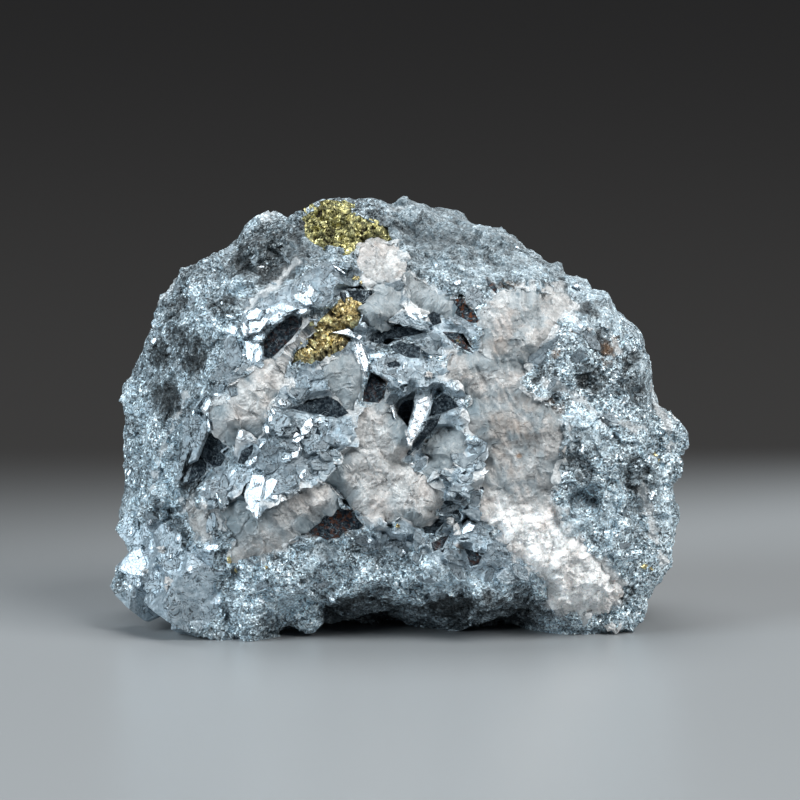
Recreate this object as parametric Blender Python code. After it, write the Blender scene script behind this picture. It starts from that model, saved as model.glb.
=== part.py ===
"""A hand-sized skutterudite specimen: a domed lump of grey metallic ore, broken across its front.

The ore is one solid, with the crystals, plates and pockets of its broken face. The pale calcite and the
brassy chalcopyrite are bodies of their own, each seated in a socket in the ore.
Run it with: blender --background --python part.py
"""

import math
import random

import bmesh
import bpy
from mathutils import Euler, Matrix, Vector, geometry, noise
from mathutils.bvhtree import BVHTree

MM = 0.001

# Driving dimensions, in millimetres. X runs to the right of the broken face, -Y is its front, +Z is up.
FRONT_REACH = 26.5  # from the middle of the rock to its broken face
BACK_REACH = 27.0  # from the middle of the rock to its back
MIDDLE_HEIGHT = 33.0  # height of the point that the outline is measured round
BOXINESS = 2.7  # 2 is an ellipsoid, more is squarer
HALF_SIZE = (48.0, 28.0, 36.0)  # of the whole rock, about
SEAT_GAP = 0.32  # clearance between a seated mineral and its socket
LARGE_LUMPS = (15.0, 1.4)  # the size and height of the lumps on the rock
SMALL_LUMPS = (6.5, 0.5)
LARGE_FACETS = (9.5, 0.24)  # the size of the broken facets and the share of their slope that is kept
SMALL_FACETS = (5.2, 0.2)

# The rock's outline seen from the front, anticlockwise, as (x, z).
OUTLINE = [
    (43.0, 30.0), (41.0, 38.5), (39.4, 45.8), (34.4, 53.0), (25.4, 57.4), (17.6, 63.0), (8.2, 66.2),
    (2.2, 67.2), (-4.4, 69.2), (-10.2, 69.5), (-17.8, 67.8), (-25.4, 64.6), (-31.6, 59.2), (-38.2, 55.0),
    (-42.0, 49.2), (-44.2, 39.4), (-46.6, 29.0), (-46.0, 18.2), (-42.6, 7.2), (-38.0, -2.5), (-19.8, -3.0),
    (0.0, -4.4), (22.3, -4.4), (35.6, -2.8), (41.6, 4.4), (44.8, 12.6), (46.2, 19.8),
]

# Broad broken planes that the rock is flattened to: (a point, the outward direction, share of bulge kept).
BROKEN_PLANES = [
    ((-29.5, -21.0, 30.0), (-0.82, -0.57, 0.06), 0.25),
    ((-26.0, -16.0, 56.0), (-0.58, -0.45, 0.66), 0.3),
    ((4.0, -23.0, 53.0), (0.06, -0.56, 0.83), 0.2),
    ((0.0, -25.5, 28.0), (0.04, -0.985, 0.16), 0.15),
    ((4.0, -25.0, 10.0), (0.05, -0.93, -0.36), 0.2),
    ((33.0, -18.0, 28.0), (0.66, -0.75, 0.08), 0.4),
    ((32.0, -12.0, 52.0), (0.62, -0.42, 0.66), 0.4),
    ((42.5, 6.0, 24.0), (0.96, 0.25, 0.1), 0.3),
    ((2.0, 25.0, 26.0), (0.06, 0.97, 0.22), 0.2),
    ((-28.0, 17.0, 34.0), (-0.62, 0.76, 0.18), 0.25),
    ((28.0, 18.0, 44.0), (0.52, 0.6, 0.6), 0.3),
    ((-8.0, 17.0, 62.0), (-0.1, 0.58, 0.81), 0.25),
]

# The rock stands on three feet, as (x, y, radius).
FEET = [(-28.0, -9.0, 13.0), (31.0, -8.0, 12.0), (2.0, 13.0, 13.0)]
ARCH_RISE = 5.6  # how far the underside is lifted between the feet
ARCH_REACH = 9.0  # height up to which the lift is felt
ARCH_EDGE = (0.55, 1.15)  # where the lift starts and is full, in radii from the middle of a foot

# Outlines below are drawn on a plane that faces someone who looks slightly down on the broken face:
# x runs to the right, w up that plane, and depth runs away from them.
VIEW_TILT = math.radians(8.0)
RIGHT = Vector((1.0, 0.0, 0.0))
UP = Vector((0.0, math.sin(VIEW_TILT), math.cos(VIEW_TILT)))
AWAY = Vector((0.0, math.cos(VIEW_TILT), -math.sin(VIEW_TILT)))

# Each calcite body's outline on that plane, as (x, w).
CALCITE = {
    "calcite_heart": [
        (-5.6, 34.3), (-2.3, 36.0), (1.2, 29.7), (0.0, 26.2), (2.8, 24.0), (6.1, 21.2), (4.5, 16.7),
        (0.7, 17.5), (-4.8, 17.5), (-7.6, 20.7), (-11.6, 23.5), (-9.1, 27.0), (-6.6, 28.3), (-6.8, 31.3),
    ],
    "calcite_bar": [
        (-27.9, 17.9), (-25.6, 20.4), (-23.4, 16.9), (-16.6, 20.4), (-12.4, 22.6), (-9.8, 19.8),
        (-16.6, 15.2), (-20.1, 12.2), (-26.9, 10.7), (-26.6, 13.4),
    ],
    "calcite_wing": [
        (-30.2, 34.5), (-27.2, 36.3), (-26.1, 38.6), (-22.9, 41.0), (-20.1, 42.2), (-18.0, 44.9),
        (-15.2, 47.7), (-14.2, 49.0), (-13.6, 48.2), (-15.6, 45.9), (-17.4, 44.1), (-19.0, 42.5),
        (-18.9, 39.6), (-21.4, 35.6), (-22.9, 31.0), (-25.4, 32.2), (-26.7, 29.2), (-29.4, 31.0),
    ],
    "calcite_crown": [
        (-6.0, 60.9), (-3.0, 61.9), (-1.0, 61.4), (-0.2, 59.2), (-0.2, 56.1), (-3.5, 55.3), (-5.1, 56.4),
        (-6.3, 58.4),
    ],
    "calcite_strip": [
        (0.8, 55.9), (2.3, 55.4), (5.6, 53.3), (9.0, 50.8), (8.0, 49.6), (4.3, 51.2), (1.4, 53.4),
    ],
    "calcite_block": [
        (-3.0, 54.0), (-0.7, 53.2), (0.1, 51.1), (-2.7, 48.5), (-5.6, 48.9), (-5.3, 50.8),
    ],
    "calcite_grey": [
        (-12.5, 41.8), (-7.6, 43.4), (-6.7, 41.1), (-6.5, 38.6), (-7.3, 35.1), (-8.4, 35.0), (-10.1, 37.0),
    ],
    "calcite_shoulder": [
        (5.5, 29.8), (8.5, 31.5), (10.4, 30.5), (10.3, 28.5), (7.8, 26.0), (4.3, 24.3), (4.4, 26.6),
    ],
    "calcite_chip": [(-33.9, 19.4), (-32.1, 19.0), (-30.7, 16.7), (-31.4, 14.6), (-33.1, 14.6)],
    "calcite_vein": [
        (15.6, 52.6), (21.1, 53.6), (26.6, 52.6), (26.9, 50.6), (23.8, 46.4), (19.3, 42.0), (19.1, 38.3),
        (25.4, 33.3), (25.7, 29.5), (23.6, 21.7), (25.4, 15.9), (29.2, 12.6), (33.9, 8.6), (36.0, 6.2),
        (34.0, 2.8), (30.2, 1.4), (26.9, 1.8), (24.8, 3.8), (24.4, 7.7), (18.6, 11.9), (16.1, 15.0),
        (13.4, 18.4), (14.6, 28.5), (11.6, 31.9), (10.9, 34.6), (12.9, 36.9), (7.9, 40.1), (8.2, 43.0),
        (13.6, 43.6), (13.0, 48.9),
    ],
}
CALCITE_PROUD = 1.0  # how far a calcite body stands out of the rock's face
CALCITE_RELIEF = 0.8  # height of the lumps on its own face
CALCITE_ROOT = 2.6  # least depth of the body below the rock's face
CALCITE_SPACING = 2.0  # distance between the points of its face
VEIN_SPACING = 2.6

# The same for the chalcopyrite.
CHALCOPYRITE = {
    "chalcopyrite_crown": [
        (-16.1, 66.0), (-14.0, 67.3), (-8.8, 67.9), (-7.5, 65.9), (-3.5, 64.4), (-1.7, 62.8), (-6.2, 61.6),
        (-8.3, 59.9), (-10.5, 61.1), (-14.1, 62.1), (-15.0, 63.9),
    ],
    "chalcopyrite_band": [
        (-17.9, 42.5), (-14.7, 45.2), (-12.0, 49.8), (-10.6, 51.4), (-9.0, 51.8), (-7.1, 51.2), (-6.3, 49.4),
        (-7.4, 48.0), (-10.6, 47.2), (-8.0, 46.0), (-9.3, 44.5), (-13.6, 42.6),
    ],
}
CHALCOPYRITE_PROUD = 0.35
CHALCOPYRITE_RELIEF = 0.5
CHALCOPYRITE_ROOT = 1.6
CHALCOPYRITE_SPACING = 1.7

# Flat-faced plates of ore: outline on the view plane, the degrees that the face turns right and up,
# and how far its middle stands proud of the rock.
PLATES = {
    "wing": (
        [(-25.4, 49.8), (-20.3, 51.2), (-13.6, 51.1), (-15.6, 50.2), (-20.3, 48.6), (-24.8, 46.6)],
        -16, 24, 1.2,
    ),
    "wing_foot": (
        [(-24.8, 46.4), (-21.0, 47.8), (-22.3, 45.4), (-22.6, 41.8), (-24.9, 42.6)],
        -26, 14, 1.0,
    ),
    "flank_sliver": ([(-34.2, 36.0), (-32.4, 35.6), (-33.2, 31.0), (-34.2, 31.7)], -28, 14, 1.0),
    "mirror": (
        [(-24.8, 24.2), (-23.2, 25.2), (-19.4, 24.2), (-21.6, 20.7), (-22.9, 16.9), (-24.8, 19.2)],
        -20, 24, 1.8,
    ),
    "blade": ([(3.0, 38.3), (5.6, 38.6), (4.0, 32.3), (1.5, 29.0), (0.7, 30.0)], 22, 26, 1.4),
    "slate": ([(8.5, 20.4), (13.8, 19.7), (13.8, 16.0), (11.3, 17.2)], 6, 14, 0.6),
    "roof": ([(-2.4, 47.6), (-0.3, 50.5), (2.4, 49.9), (5.4, 47.2)], 14, 12, 2.2),
    "low_slate": ([(15.6, 6.9), (18.9, 9.4), (22.4, 9.9), (21.3, 7.3)], 8, 18, 0.7),
    "black_slope": (
        [(-18.1, 34.7), (-16.1, 37.3), (-11.6, 38.0), (-7.6, 34.4), (-13.3, 33.3)],
        8, -30, 0.4,
    ),
    "shelf": (
        [(-18.5, 33.3), (-7.6, 34.2), (-4.4, 33.0), (-5.6, 31.0), (-4.7, 28.7), (-10.0, 29.0),
         (-14.6, 27.6), (-19.4, 31.3)],
        -6, 16, 1.2,
    ),
    "crest": (
        [(-24.3, 50.6), (-22.9, 51.8), (-17.1, 55.3), (-11.8, 58.9), (-8.8, 54.8), (-11.8, 52.3),
         (-16.3, 51.2)],
        -14, 30, 0.6,
    ),
    "flank_fold": ([(-36.0, 23.0), (-31.4, 36.3), (-28.6, 34.6), (-33.0, 22.6)], -38, 4, 1.3),
    "lower_right": (
        [(10.5, 31.9), (14.3, 28.7), (14.0, 22.6), (8.8, 20.2), (6.6, 23.0), (9.0, 26.0)],
        4, 20, 1.2,
    ),
    "upper_ledge": (
        [(-3.5, 43.6), (3.5, 43.8), (10.5, 40.0), (7.0, 38.5), (-2.2, 38.2), (-4.6, 41.0)],
        6, 22, 1.2,
    ),
    "brow": (
        [(0.4, 54.6), (3.5, 53.2), (8.6, 49.4), (7.0, 47.6), (2.0, 50.2), (-0.4, 52.6)],
        16, 20, 0.9,
    ),
    "bar_back": (
        [(-22.4, 24.4), (-12.6, 27.6), (-8.0, 25.0), (-11.8, 23.4), (-17.4, 21.4), (-22.8, 18.0)],
        -8, 26, 1.5,
    ),
    "left_step": (
        [(-33.5, 21.0), (-26.6, 28.8), (-22.4, 27.0), (-25.0, 22.4), (-28.4, 18.6), (-31.4, 18.6)],
        -20, 20, 1.0,
    ),
    "heart_fin": ([(-8.0, 19.4), (-5.0, 15.6), (1.2, 12.8), (0.8, 15.4), (-4.4, 17.4)], 12, 4, 1.0),
    "low_fin": ([(6.4, 14.6), (9.8, 17.6), (15.4, 13.4), (13.0, 11.2), (9.2, 12.6)], -12, 22, 1.2),
    "right_ridge": ([(18.0, 38.6), (26.6, 44.6), (30.6, 41.4), (22.4, 35.6)], 26, 12, 1.0),
    "right_scarp": ([(27.4, 31.5), (33.5, 34.5), (40.0, 27.5), (34.0, 24.0), (29.0, 26.0)], 30, 14, 0.7),
    "high_left": ([(-17.6, 59.5), (-11.0, 60.2), (-7.4, 57.2), (-12.2, 54.2), (-18.0, 55.4)], -10, 30, 0.5),
}
PLATE_ROOT = 9.0  # depth of a plate's back behind its face
PLATE_SPREAD = 1.25  # size of its back beside its face

# Pockets between the crystals: outline on the view plane, depth, and how far the floor slides as (x, w).
POCKETS = {
    "lens": (
        [(-21.7, 42.5), (-21.3, 45.6), (-19.5, 48.2), (-17.6, 49.6), (-16.0, 49.6), (-15.5, 48.6),
         (-18.2, 45.6), (-20.3, 42.9)],
        4.5, (-0.3, 0.3),
    ),
    "step": ([(-9.8, 54.6), (-2.6, 55.0), (-5.6, 51.0), (-8.0, 51.4)], 5.5, (0.5, 1.0)),
    "eye": (
        [(-5.3, 46.1), (-3.3, 48.3), (0.0, 48.5), (4.6, 47.4), (0.8, 46.2), (-2.0, 45.0)],
        6.0, (0.0, 0.8),
    ),
    "under_eye": ([(-1.7, 45.1), (3.5, 45.6), (2.3, 43.4), (0.0, 43.6)], 4.0, (0.0, 0.5)),
    "rust_hollow": ([(6.4, 53.0), (10.5, 53.2), (13.2, 48.6), (9.6, 50.1)], 5.5, (0.4, 0.8)),
    "rust_step": ([(7.1, 47.6), (10.0, 47.3), (12.0, 43.6), (9.6, 44.8)], 4.5, (0.4, 0.6)),
    "notch": ([(-6.3, 38.8), (-4.0, 41.0), (-2.0, 39.0), (-2.7, 36.8), (-5.6, 35.1)], 5.0, (0.0, 0.6)),
    "under_triangle": (
        [(-17.6, 34.3), (-15.6, 36.2), (-11.4, 36.6), (-8.2, 34.2), (-13.0, 33.4)],
        4.0, (0.0, 1.2),
    ),
    "beside_blade": ([(-1.8, 36.8), (2.6, 38.0), (1.2, 31.0), (-0.5, 31.2)], 4.5, (0.4, 0.4)),
    "behind_blade": ([(4.9, 38.5), (6.8, 38.8), (9.9, 35.0), (4.5, 33.0)], 4.5, (-0.4, 0.4)),
    "slot": (
        [(-11.5, 22.9), (-9.3, 23.6), (-7.8, 22.8), (-8.1, 21.2), (-5.9, 18.2), (-8.0, 18.8)],
        4.5, (0.0, 0.5),
    ),
    "deep_slit": (
        [(-17.5, 14.4), (-13.6, 17.9), (-9.8, 19.4), (-5.8, 16.0), (-9.6, 14.8), (-12.3, 13.5),
         (-13.6, 15.2)],
        6.0, (0.0, 1.2),
    ),
    "black_step": ([(2.9, 16.8), (7.7, 16.8), (6.2, 14.5), (3.8, 14.6)], 5.0, (0.0, 0.8)),
    "black_wedge": ([(4.8, 12.9), (8.3, 15.0), (7.0, 11.4)], 4.0, (0.0, 0.5)),
    "low_wedge": ([(10.4, 12.3), (13.7, 11.5), (11.8, 9.0)], 4.0, (0.0, 0.6)),
    "high_wedge": ([(9.8, 18.1), (12.3, 16.7), (10.0, 15.2)], 3.0, (0.0, 0.4)),
    "cave": (
        [(-31.0, 31.0), (-28.6, 30.6), (-27.5, 28.6), (-28.6, 26.3), (-30.6, 24.3), (-33.8, 23.0),
         (-32.6, 27.5)],
        5.0, (-0.6, 0.5),
    ),
    "right_pit": (
        [(26.0, 19.7), (28.6, 22.4), (32.4, 22.0), (33.3, 19.4), (30.6, 16.8), (26.9, 16.3)],
        4.5, (0.6, 0.8),
    ),
    "brow_slit": (
        [(13.6, 56.4), (16.8, 55.2), (21.0, 53.2), (18.3, 52.4), (14.8, 53.6)],
        2.6, (0.0, 0.8),
    ),
    "crown_hollow": (
        [(-26.0, 57.6), (-22.4, 62.4), (-16.4, 66.4), (-14.6, 63.0), (-18.4, 58.4), (-22.6, 55.6)],
        1.8, (0.6, 0.2),
    ),
}
POCKET_LEAD = 14.0  # how far a pocket's cutter reaches in front of the rock
POCKET_MOUTH = 0.5  # where it starts to narrow, in front of the rock's face
POCKET_FLOOR = 0.45  # size of its floor beside its mouth

# Blocky crystals: (x, w), how far the middle lies behind the face, half-lengths, and turn in degrees.
CRYSTALS = {
    "corner_prism": ((-40.8, 7.0), -1.0, (4.0, 4.4, 5.6), (20, 38, 32)),
    "corner_chip": ((-42.6, 14.6), 0.8, (2.8, 3.2, 2.6), (35, 20, 60)),
    "flank_block": ((-38.6, 18.4), 1.0, (3.4, 3.0, 3.8), (10, 40, 16)),
    "flank_wedge": ((-36.0, 12.4), 0.6, (3.2, 3.4, 2.8), (38, 14, 50)),
    "foot_cube": ((-34.5, 5.5), 0.0, (4.6, 4.6, 5.6), (12, 30, 24)),
    "foot_wedge": ((-31.0, 0.6), 1.5, (5.2, 4.2, 3.6), (-14, 22, 12)),
    "foot_block": ((-24.0, 2.2), 2.2, (4.4, 4.6, 4.4), (24, -16, 40)),
    "foot_tooth": ((-15.4, 2.6), 2.0, (3.2, 3.4, 3.0), (30, 30, 10)),
    "right_knob": ((42.6, 30.6), 1.0, (3.2, 4.4, 3.6), (20, 42, 30)),
    "right_knob_low": ((43.6, 25.2), 2.4, (2.4, 3.2, 2.0), (-18, 30, 12)),
    "pit_block": ((35.4, 14.6), 2.2, (3.6, 3.8, 3.0), (22, 26, 44)),
    "toe_block": ((36.4, 2.4), 2.6, (3.2, 3.4, 3.0), (16, 12, 30)),
    "ledge_block": ((14.6, 6.2), 2.2, (3.6, 3.2, 2.6), (28, -20, 16)),
    "ledge_lump": ((-3.4, 8.4), 2.4, (5.0, 3.6, 2.6), (-20, 12, 8)),
    "ledge_left": ((-19.0, 8.6), 2.2, (3.6, 3.2, 2.8), (16, 34, 20)),
}
CORNER_CUT = 0.56  # of a block's half-length, taken off each of its corners

# Blocks strewn over the rest of the rock.
BLOCK_SEED = 7
BLOCK_COUNT = 46
BLOCK_HALF = (2.4, 4.4)  # shortest and longest half-length
BLOCK_SINK = 0.86  # depth of a block's middle below the face, beside its shortest half-length
BLOCK_LOWEST = 9.0

# Small random plates fill the broken face between the drawn ones.
JUMBLE_SEED = 23
JUMBLE_COUNT = 34
JUMBLE_MIDDLE = (-6.0, 32.0)
JUMBLE_REACH = (25.0, 21.0)
JUMBLE_SPOKE = (1.4, 3.4)  # shortest and longest distance from a plate's middle to its corners

ORE_TRIANGLES_KEPT = 0.48  # share of the rock's own mesh kept before the crystals join it


def new_material(name, colour, metallic, roughness):
    material = bpy.data.materials.new(name)
    material.use_nodes = True
    shader = material.node_tree.nodes["Principled BSDF"]
    shader.inputs["Base Color"].default_value = (*colour, 1.0)
    shader.inputs["Metallic"].default_value = metallic
    shader.inputs["Roughness"].default_value = roughness
    return material


def in_view(x, w, depth):
    """The point at (x, w) on the view plane, that far behind it, all in millimetres."""
    return (RIGHT * x + UP * w + AWAY * depth) * MM


def add_object(name, mesh_builder, collection=None):
    """Makes an object from a bmesh, in the scene or in a collection of helpers."""
    bmesh.ops.recalc_face_normals(mesh_builder, faces=mesh_builder.faces)
    mesh = bpy.data.meshes.new(name)
    mesh_builder.to_mesh(mesh)
    mesh_builder.free()
    made = bpy.data.objects.new(name, mesh)
    (collection or bpy.context.scene.collection).objects.link(made)
    if collection:
        made.hide_render = True
        made.display_type = "WIRE"
    return made


def outline_radius(angle):
    """Distance from the rock's middle to its outline at this angle, between the outline's own points."""
    rises = [(x, z - MIDDLE_HEIGHT) for x, z in OUTLINE]
    points = sorted((math.atan2(rise, x), math.hypot(x, rise)) for x, rise in rises)
    points = [(points[-1][0] - math.tau, points[-1][1]), *points, (points[0][0] + math.tau, points[0][1])]
    for (a0, r0), (a1, r1) in zip(points, points[1:]):
        if a0 <= angle <= a1:
            share = (angle - a0) / (a1 - a0)
            return r0 + (r1 - r0) * share
    return points[0][1]


def facet_height(point, cell):
    """Height of broken facets: each cell of the noise is a flat face with its own slope, in millimetres."""
    centre = noise.voronoi(point / cell)[1][0]
    slope = noise.cell_vector(centre * 91.7) * 2.0 - Vector((1.0, 1.0, 1.0))
    return (point / cell - centre).dot(slope) * cell


def rock_point(direction):
    """Where the rock's surface lies in this direction from its middle, in millimetres."""
    across = math.hypot(direction.x, direction.z)
    along = abs(direction.y)
    scale = (across**BOXINESS + along**BOXINESS) ** (-1.0 / BOXINESS)
    angle = math.atan2(direction.z, direction.x)
    radius = outline_radius(angle) * across * scale
    reach = FRONT_REACH if direction.y < 0 else BACK_REACH
    height = MIDDLE_HEIGHT + radius * math.sin(angle)
    point = Vector((radius * math.cos(angle), direction.y * scale * reach, height))
    for origin, outward, kept in BROKEN_PLANES:
        normal = Vector(outward).normalized()
        past = (point - Vector(origin)).dot(normal)
        if past > 0:
            point -= normal * past * (1.0 - kept)
    middle = Vector((0.0, 0.0, MIDDLE_HEIGHT))
    out = Vector([c / half for c, half in zip(point - middle, HALF_SIZE)]).normalized()
    relief = 0.0
    for (size, share), aside in ((LARGE_LUMPS, (0, 0, 0)), (SMALL_LUMPS, (9, 4, 2))):
        relief += noise.noise(point / size + Vector(aside)) * share
    for (size, share), aside in ((LARGE_FACETS, (0, 0, 0)), (SMALL_FACETS, (31, 7, 5))):
        relief += facet_height(point + Vector(aside), size) * share
    return lifted_between_feet(point + out * relief)


def lifted_between_feet(point):
    """Raises the underside everywhere but at the three feet."""
    if point.z > ARCH_REACH:
        return point
    away = min(math.hypot(point.x - x, point.y - y) / radius for x, y, radius in FEET)
    share = min(1.0, max(0.0, away - ARCH_EDGE[0]) / (ARCH_EDGE[1] - ARCH_EDGE[0]))
    point.z += ARCH_RISE * share * (1.0 - max(0.0, point.z) / ARCH_REACH)
    return point


def rock_body(name):
    """The whole rock as one closed lump, before anything grows on it or is cut from it."""
    builder = bmesh.new()
    bmesh.ops.create_icosphere(builder, subdivisions=5, radius=1.0)
    for vertex in builder.verts:
        vertex.co = rock_point(vertex.co.normalized()) * MM
    return add_object(name, builder)


def surface_depth(tree, x, w):
    """Depth of the rock's face behind (x, w) on the view plane, or None past its edge."""
    hit = tree.ray_cast(in_view(x, w, -2.0 * HALF_SIZE[0]), AWAY)[0]
    return None if hit is None else hit.dot(AWAY) / MM


def middle_of(outline):
    return (
        sum(x for x, _ in outline) / len(outline),
        sum(w for _, w in outline) / len(outline),
    )


def resized(outline, scale=1.0, grow=0.0, slide=(0.0, 0.0)):
    """The outline scaled about its middle, or with every side moved out by the same distance, then slid."""
    if grow:
        area = sum(a[0] * b[1] - b[0] * a[1] for a, b in zip(outline, outline[1:] + outline[:1]))
        turn = 1.0 if area > 0 else -1.0
        grown = []
        for before, here, after in zip(outline[-1:] + outline[:-1], outline, outline[1:] + outline[:1]):
            into = (Vector(here) - Vector(before)).normalized()
            out_of = (Vector(after) - Vector(here)).normalized()
            sides = [Vector((edge.y, -edge.x)) * turn for edge in (into, out_of)]
            corner = sides[0] + sides[1]
            grown.append(Vector(here) + corner * (grow / max(0.5, 1.0 + sides[0].dot(sides[1]))))
        return [(p.x, p.y) for p in grown]
    x0, w0 = middle_of(outline)
    return [(x0 + (x - x0) * scale + slide[0], w0 + (w - w0) * scale + slide[1]) for x, w in outline]


def loft(name, rings, collection):
    """A closed solid through rings of points, from the nearest to the farthest, with flat ends."""
    builder = bmesh.new()
    rows = [[builder.verts.new(point) for point in ring] for ring in rings]
    builder.faces.new(rows[0])
    builder.faces.new(reversed(rows[-1]))
    for near, far in zip(rows, rows[1:]):
        for i in range(len(near)):
            j = (i + 1) % len(near)
            builder.faces.new((near[i], far[i], far[j], near[j]))
    bmesh.ops.triangulate(builder, faces=builder.faces)
    return add_object(name, builder, collection)


def add_plate(name, outline, right, up, proud, tree, collection):
    """A flat-faced plate of ore, whose back widens as it goes into the rock."""
    x0, w0 = middle_of(outline)
    depth = surface_depth(tree, x0, w0) - proud
    slope_x = math.tan(math.radians(right))
    slope_w = math.tan(math.radians(up)) / math.cos(math.radians(right))
    face = [in_view(x, w, depth + slope_x * (x - x0) + slope_w * (w - w0)) for x, w in outline]
    back = [in_view(x, w, depth + PLATE_ROOT) for x, w in resized(outline, scale=PLATE_SPREAD)]
    return loft(f"plate_{name}", [face, back], collection)


def add_pocket(name, outline, deep, slide, tree, collection):
    """A cutter for a pocket that narrows to its floor."""
    x0, w0 = middle_of(outline)
    depth = surface_depth(tree, x0, w0)
    rings = [
        [in_view(x, w, depth - POCKET_LEAD) for x, w in outline],
        [in_view(x, w, depth - POCKET_MOUTH) for x, w in outline],
        [in_view(x, w, depth + deep) for x, w in resized(outline, scale=POCKET_FLOOR, slide=slide)],
    ]
    return loft(f"pocket_{name}", rings, collection)


def blocky(name, centre, half, turn, collection):
    """A cube with its corners cut by the octahedron, stretched and turned. The centre is in metres."""
    builder = bmesh.new()
    bmesh.ops.create_cube(builder, size=2.0)
    bmesh.ops.bevel(builder, geom=builder.verts[:], offset=CORNER_CUT, segments=1, affect="VERTICES")
    stretch = Matrix.Diagonal((half[0] * MM, half[1] * MM, half[2] * MM, 1.0))
    spin = Euler([math.radians(a) for a in turn]).to_matrix().to_4x4()
    bmesh.ops.transform(builder, matrix=Matrix.Translation(centre) @ spin @ stretch, verts=builder.verts)
    bmesh.ops.triangulate(builder, faces=builder.faces)
    return add_object(name, builder, collection)


def add_crystal(name, place, behind, half, turn, tree, collection):
    """A blocky crystal set into the broken face."""
    x, w = place
    depth = surface_depth(tree, x, w)
    return blocky(f"crystal_{name}", in_view(x, w, depth + behind), half, turn, collection)


def add_blocks(tree, collection):
    """Half-buried blocks on the flanks, the top and the back, spread evenly by the golden angle."""
    chance = random.Random(BLOCK_SEED)
    middle = Vector((0.0, 0.0, MIDDLE_HEIGHT))
    for i in range(BLOCK_COUNT):
        up = 1.0 - 2.0 * (i + 0.5) / BLOCK_COUNT
        around = i * math.pi * (3.0 - math.sqrt(5.0)) + chance.uniform(-0.3, 0.3)
        flat = math.sqrt(1.0 - up * up)
        out = Vector((flat * math.cos(around), up, flat * math.sin(around)))
        half = [chance.uniform(*BLOCK_HALF) for _ in range(3)]
        turn = [chance.uniform(0.0, 90.0) for _ in range(3)]
        ray = Vector([c * half_size for c, half_size in zip(out, HALF_SIZE)]).normalized()
        hit = tree.ray_cast(middle * MM, ray)[0]
        on_broken_face = out.y < -0.62 and out.x < 0.35
        if hit.z < BLOCK_LOWEST * MM or on_broken_face:
            continue
        inward = (middle * MM - hit).normalized()
        blocky(f"block_{i:02d}", hit + inward * BLOCK_SINK * min(half) * MM, half, turn, collection)


def add_jumble(tree, collection):
    """Small plates with three to five sides, strewn over the broken face."""
    chance = random.Random(JUMBLE_SEED)
    for i in range(JUMBLE_COUNT):
        angle = chance.uniform(0.0, math.tau)
        reach = math.sqrt(chance.random())
        x0 = JUMBLE_MIDDLE[0] + JUMBLE_REACH[0] * reach * math.cos(angle)
        w0 = JUMBLE_MIDDLE[1] + JUMBLE_REACH[1] * reach * math.sin(angle)
        sides = chance.randint(3, 5)
        first = chance.uniform(0.0, math.tau)
        outline = []
        for k in range(sides):
            spoke = chance.uniform(*JUMBLE_SPOKE)
            a = first + math.tau * (k + chance.uniform(-0.2, 0.2)) / sides
            outline.append((x0 + spoke * math.cos(a), w0 + spoke * math.sin(a)))
        right = chance.uniform(-34, 34)
        up = chance.uniform(-10, 40)
        add_plate(f"jumble_{i:02d}", outline, right, up, chance.uniform(0.3, 1.3), tree, collection)


def is_inside(x, w, outline):
    crossings = 0
    for (x0, w0), (x1, w1) in zip(outline, outline[1:] + outline[:1]):
        if (w0 > w) != (w1 > w) and x < x0 + (w - w0) * (x1 - x0) / (w1 - w0):
            crossings += 1
    return crossings % 2 == 1


def filled(outline, spacing):
    """Points and triangles that fill the outline, with its sides divided to about this spacing."""
    rim = []
    for here, after in zip(outline, outline[1:] + outline[:1]):
        steps = max(1, round(math.dist(here, after) / spacing))
        rim += [Vector(here).lerp(Vector(after), k / steps) for k in range(steps)]
    xs, ws = [x for x, _ in outline], [w for _, w in outline]
    inner = resized(outline, grow=-0.45 * spacing)
    chance = random.Random(len(rim))
    within = []
    row = 0
    w = min(ws)
    while w < max(ws):
        x = min(xs) + (row % 2) * spacing * 0.5
        while x < max(xs):
            spot = (x + chance.uniform(-0.2, 0.2) * spacing, w + chance.uniform(-0.2, 0.2) * spacing)
            if is_inside(*spot, inner) and min((Vector(spot) - r).length for r in rim) > 0.5 * spacing:
                within.append(Vector(spot))
            x += spacing
        w += spacing * 0.87
        row += 1
    edges = [(i, (i + 1) % len(rim)) for i in range(len(rim))]
    points, _, triangles, *_ = geometry.delaunay_2d_cdt(rim + within, edges, [list(range(len(rim)))], 1, 1e-6)
    return points, triangles, len(rim)


def face_lift(point, proud, relief):
    """How far a seated mineral's own lumpy face stands out of the rock's face here, in millimetres."""
    lumps = noise.noise(Vector((point.x, point.y, 0.0)) / 3.1) + facet_height(point, 5.0) * 0.22
    return max(0.2, proud + relief * lumps)


def add_seated(name, outline, root, proud, relief, spacing, sockets, tree, material):
    """A mineral body with its socket: its face follows the rock's, and its root runs straight back."""
    points, triangles, rim_count = filled(outline, spacing)
    known = [d for d in (surface_depth(tree, p.x, p.y) for p in points) if d is not None]
    builder = bmesh.new()
    front, back = [], []
    floor = max(known) + root
    for p in points:
        depth = surface_depth(tree, p.x, p.y)
        depth = max(known) if depth is None else depth
        lift = face_lift(Vector((p.x, p.y, depth)), proud, relief)
        front.append(builder.verts.new(in_view(p.x, p.y, depth - lift)))
        back.append(builder.verts.new(in_view(p.x, p.y, floor)))
    for a, b, c in triangles:
        builder.faces.new((front[a], front[b], front[c]))
        builder.faces.new((back[c], back[b], back[a]))
    for i in range(rim_count):
        j = (i + 1) % rim_count
        builder.faces.new((front[j], front[i], back[i], back[j]))
    body = add_object(name, builder)
    body.data.materials.append(material)
    wide = resized(outline, grow=SEAT_GAP)
    ends = (min(known) - POCKET_LEAD, floor + SEAT_GAP)
    loft(f"socket_{name}", [[in_view(x, w, depth) for x, w in wide] for depth in ends], sockets)


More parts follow.
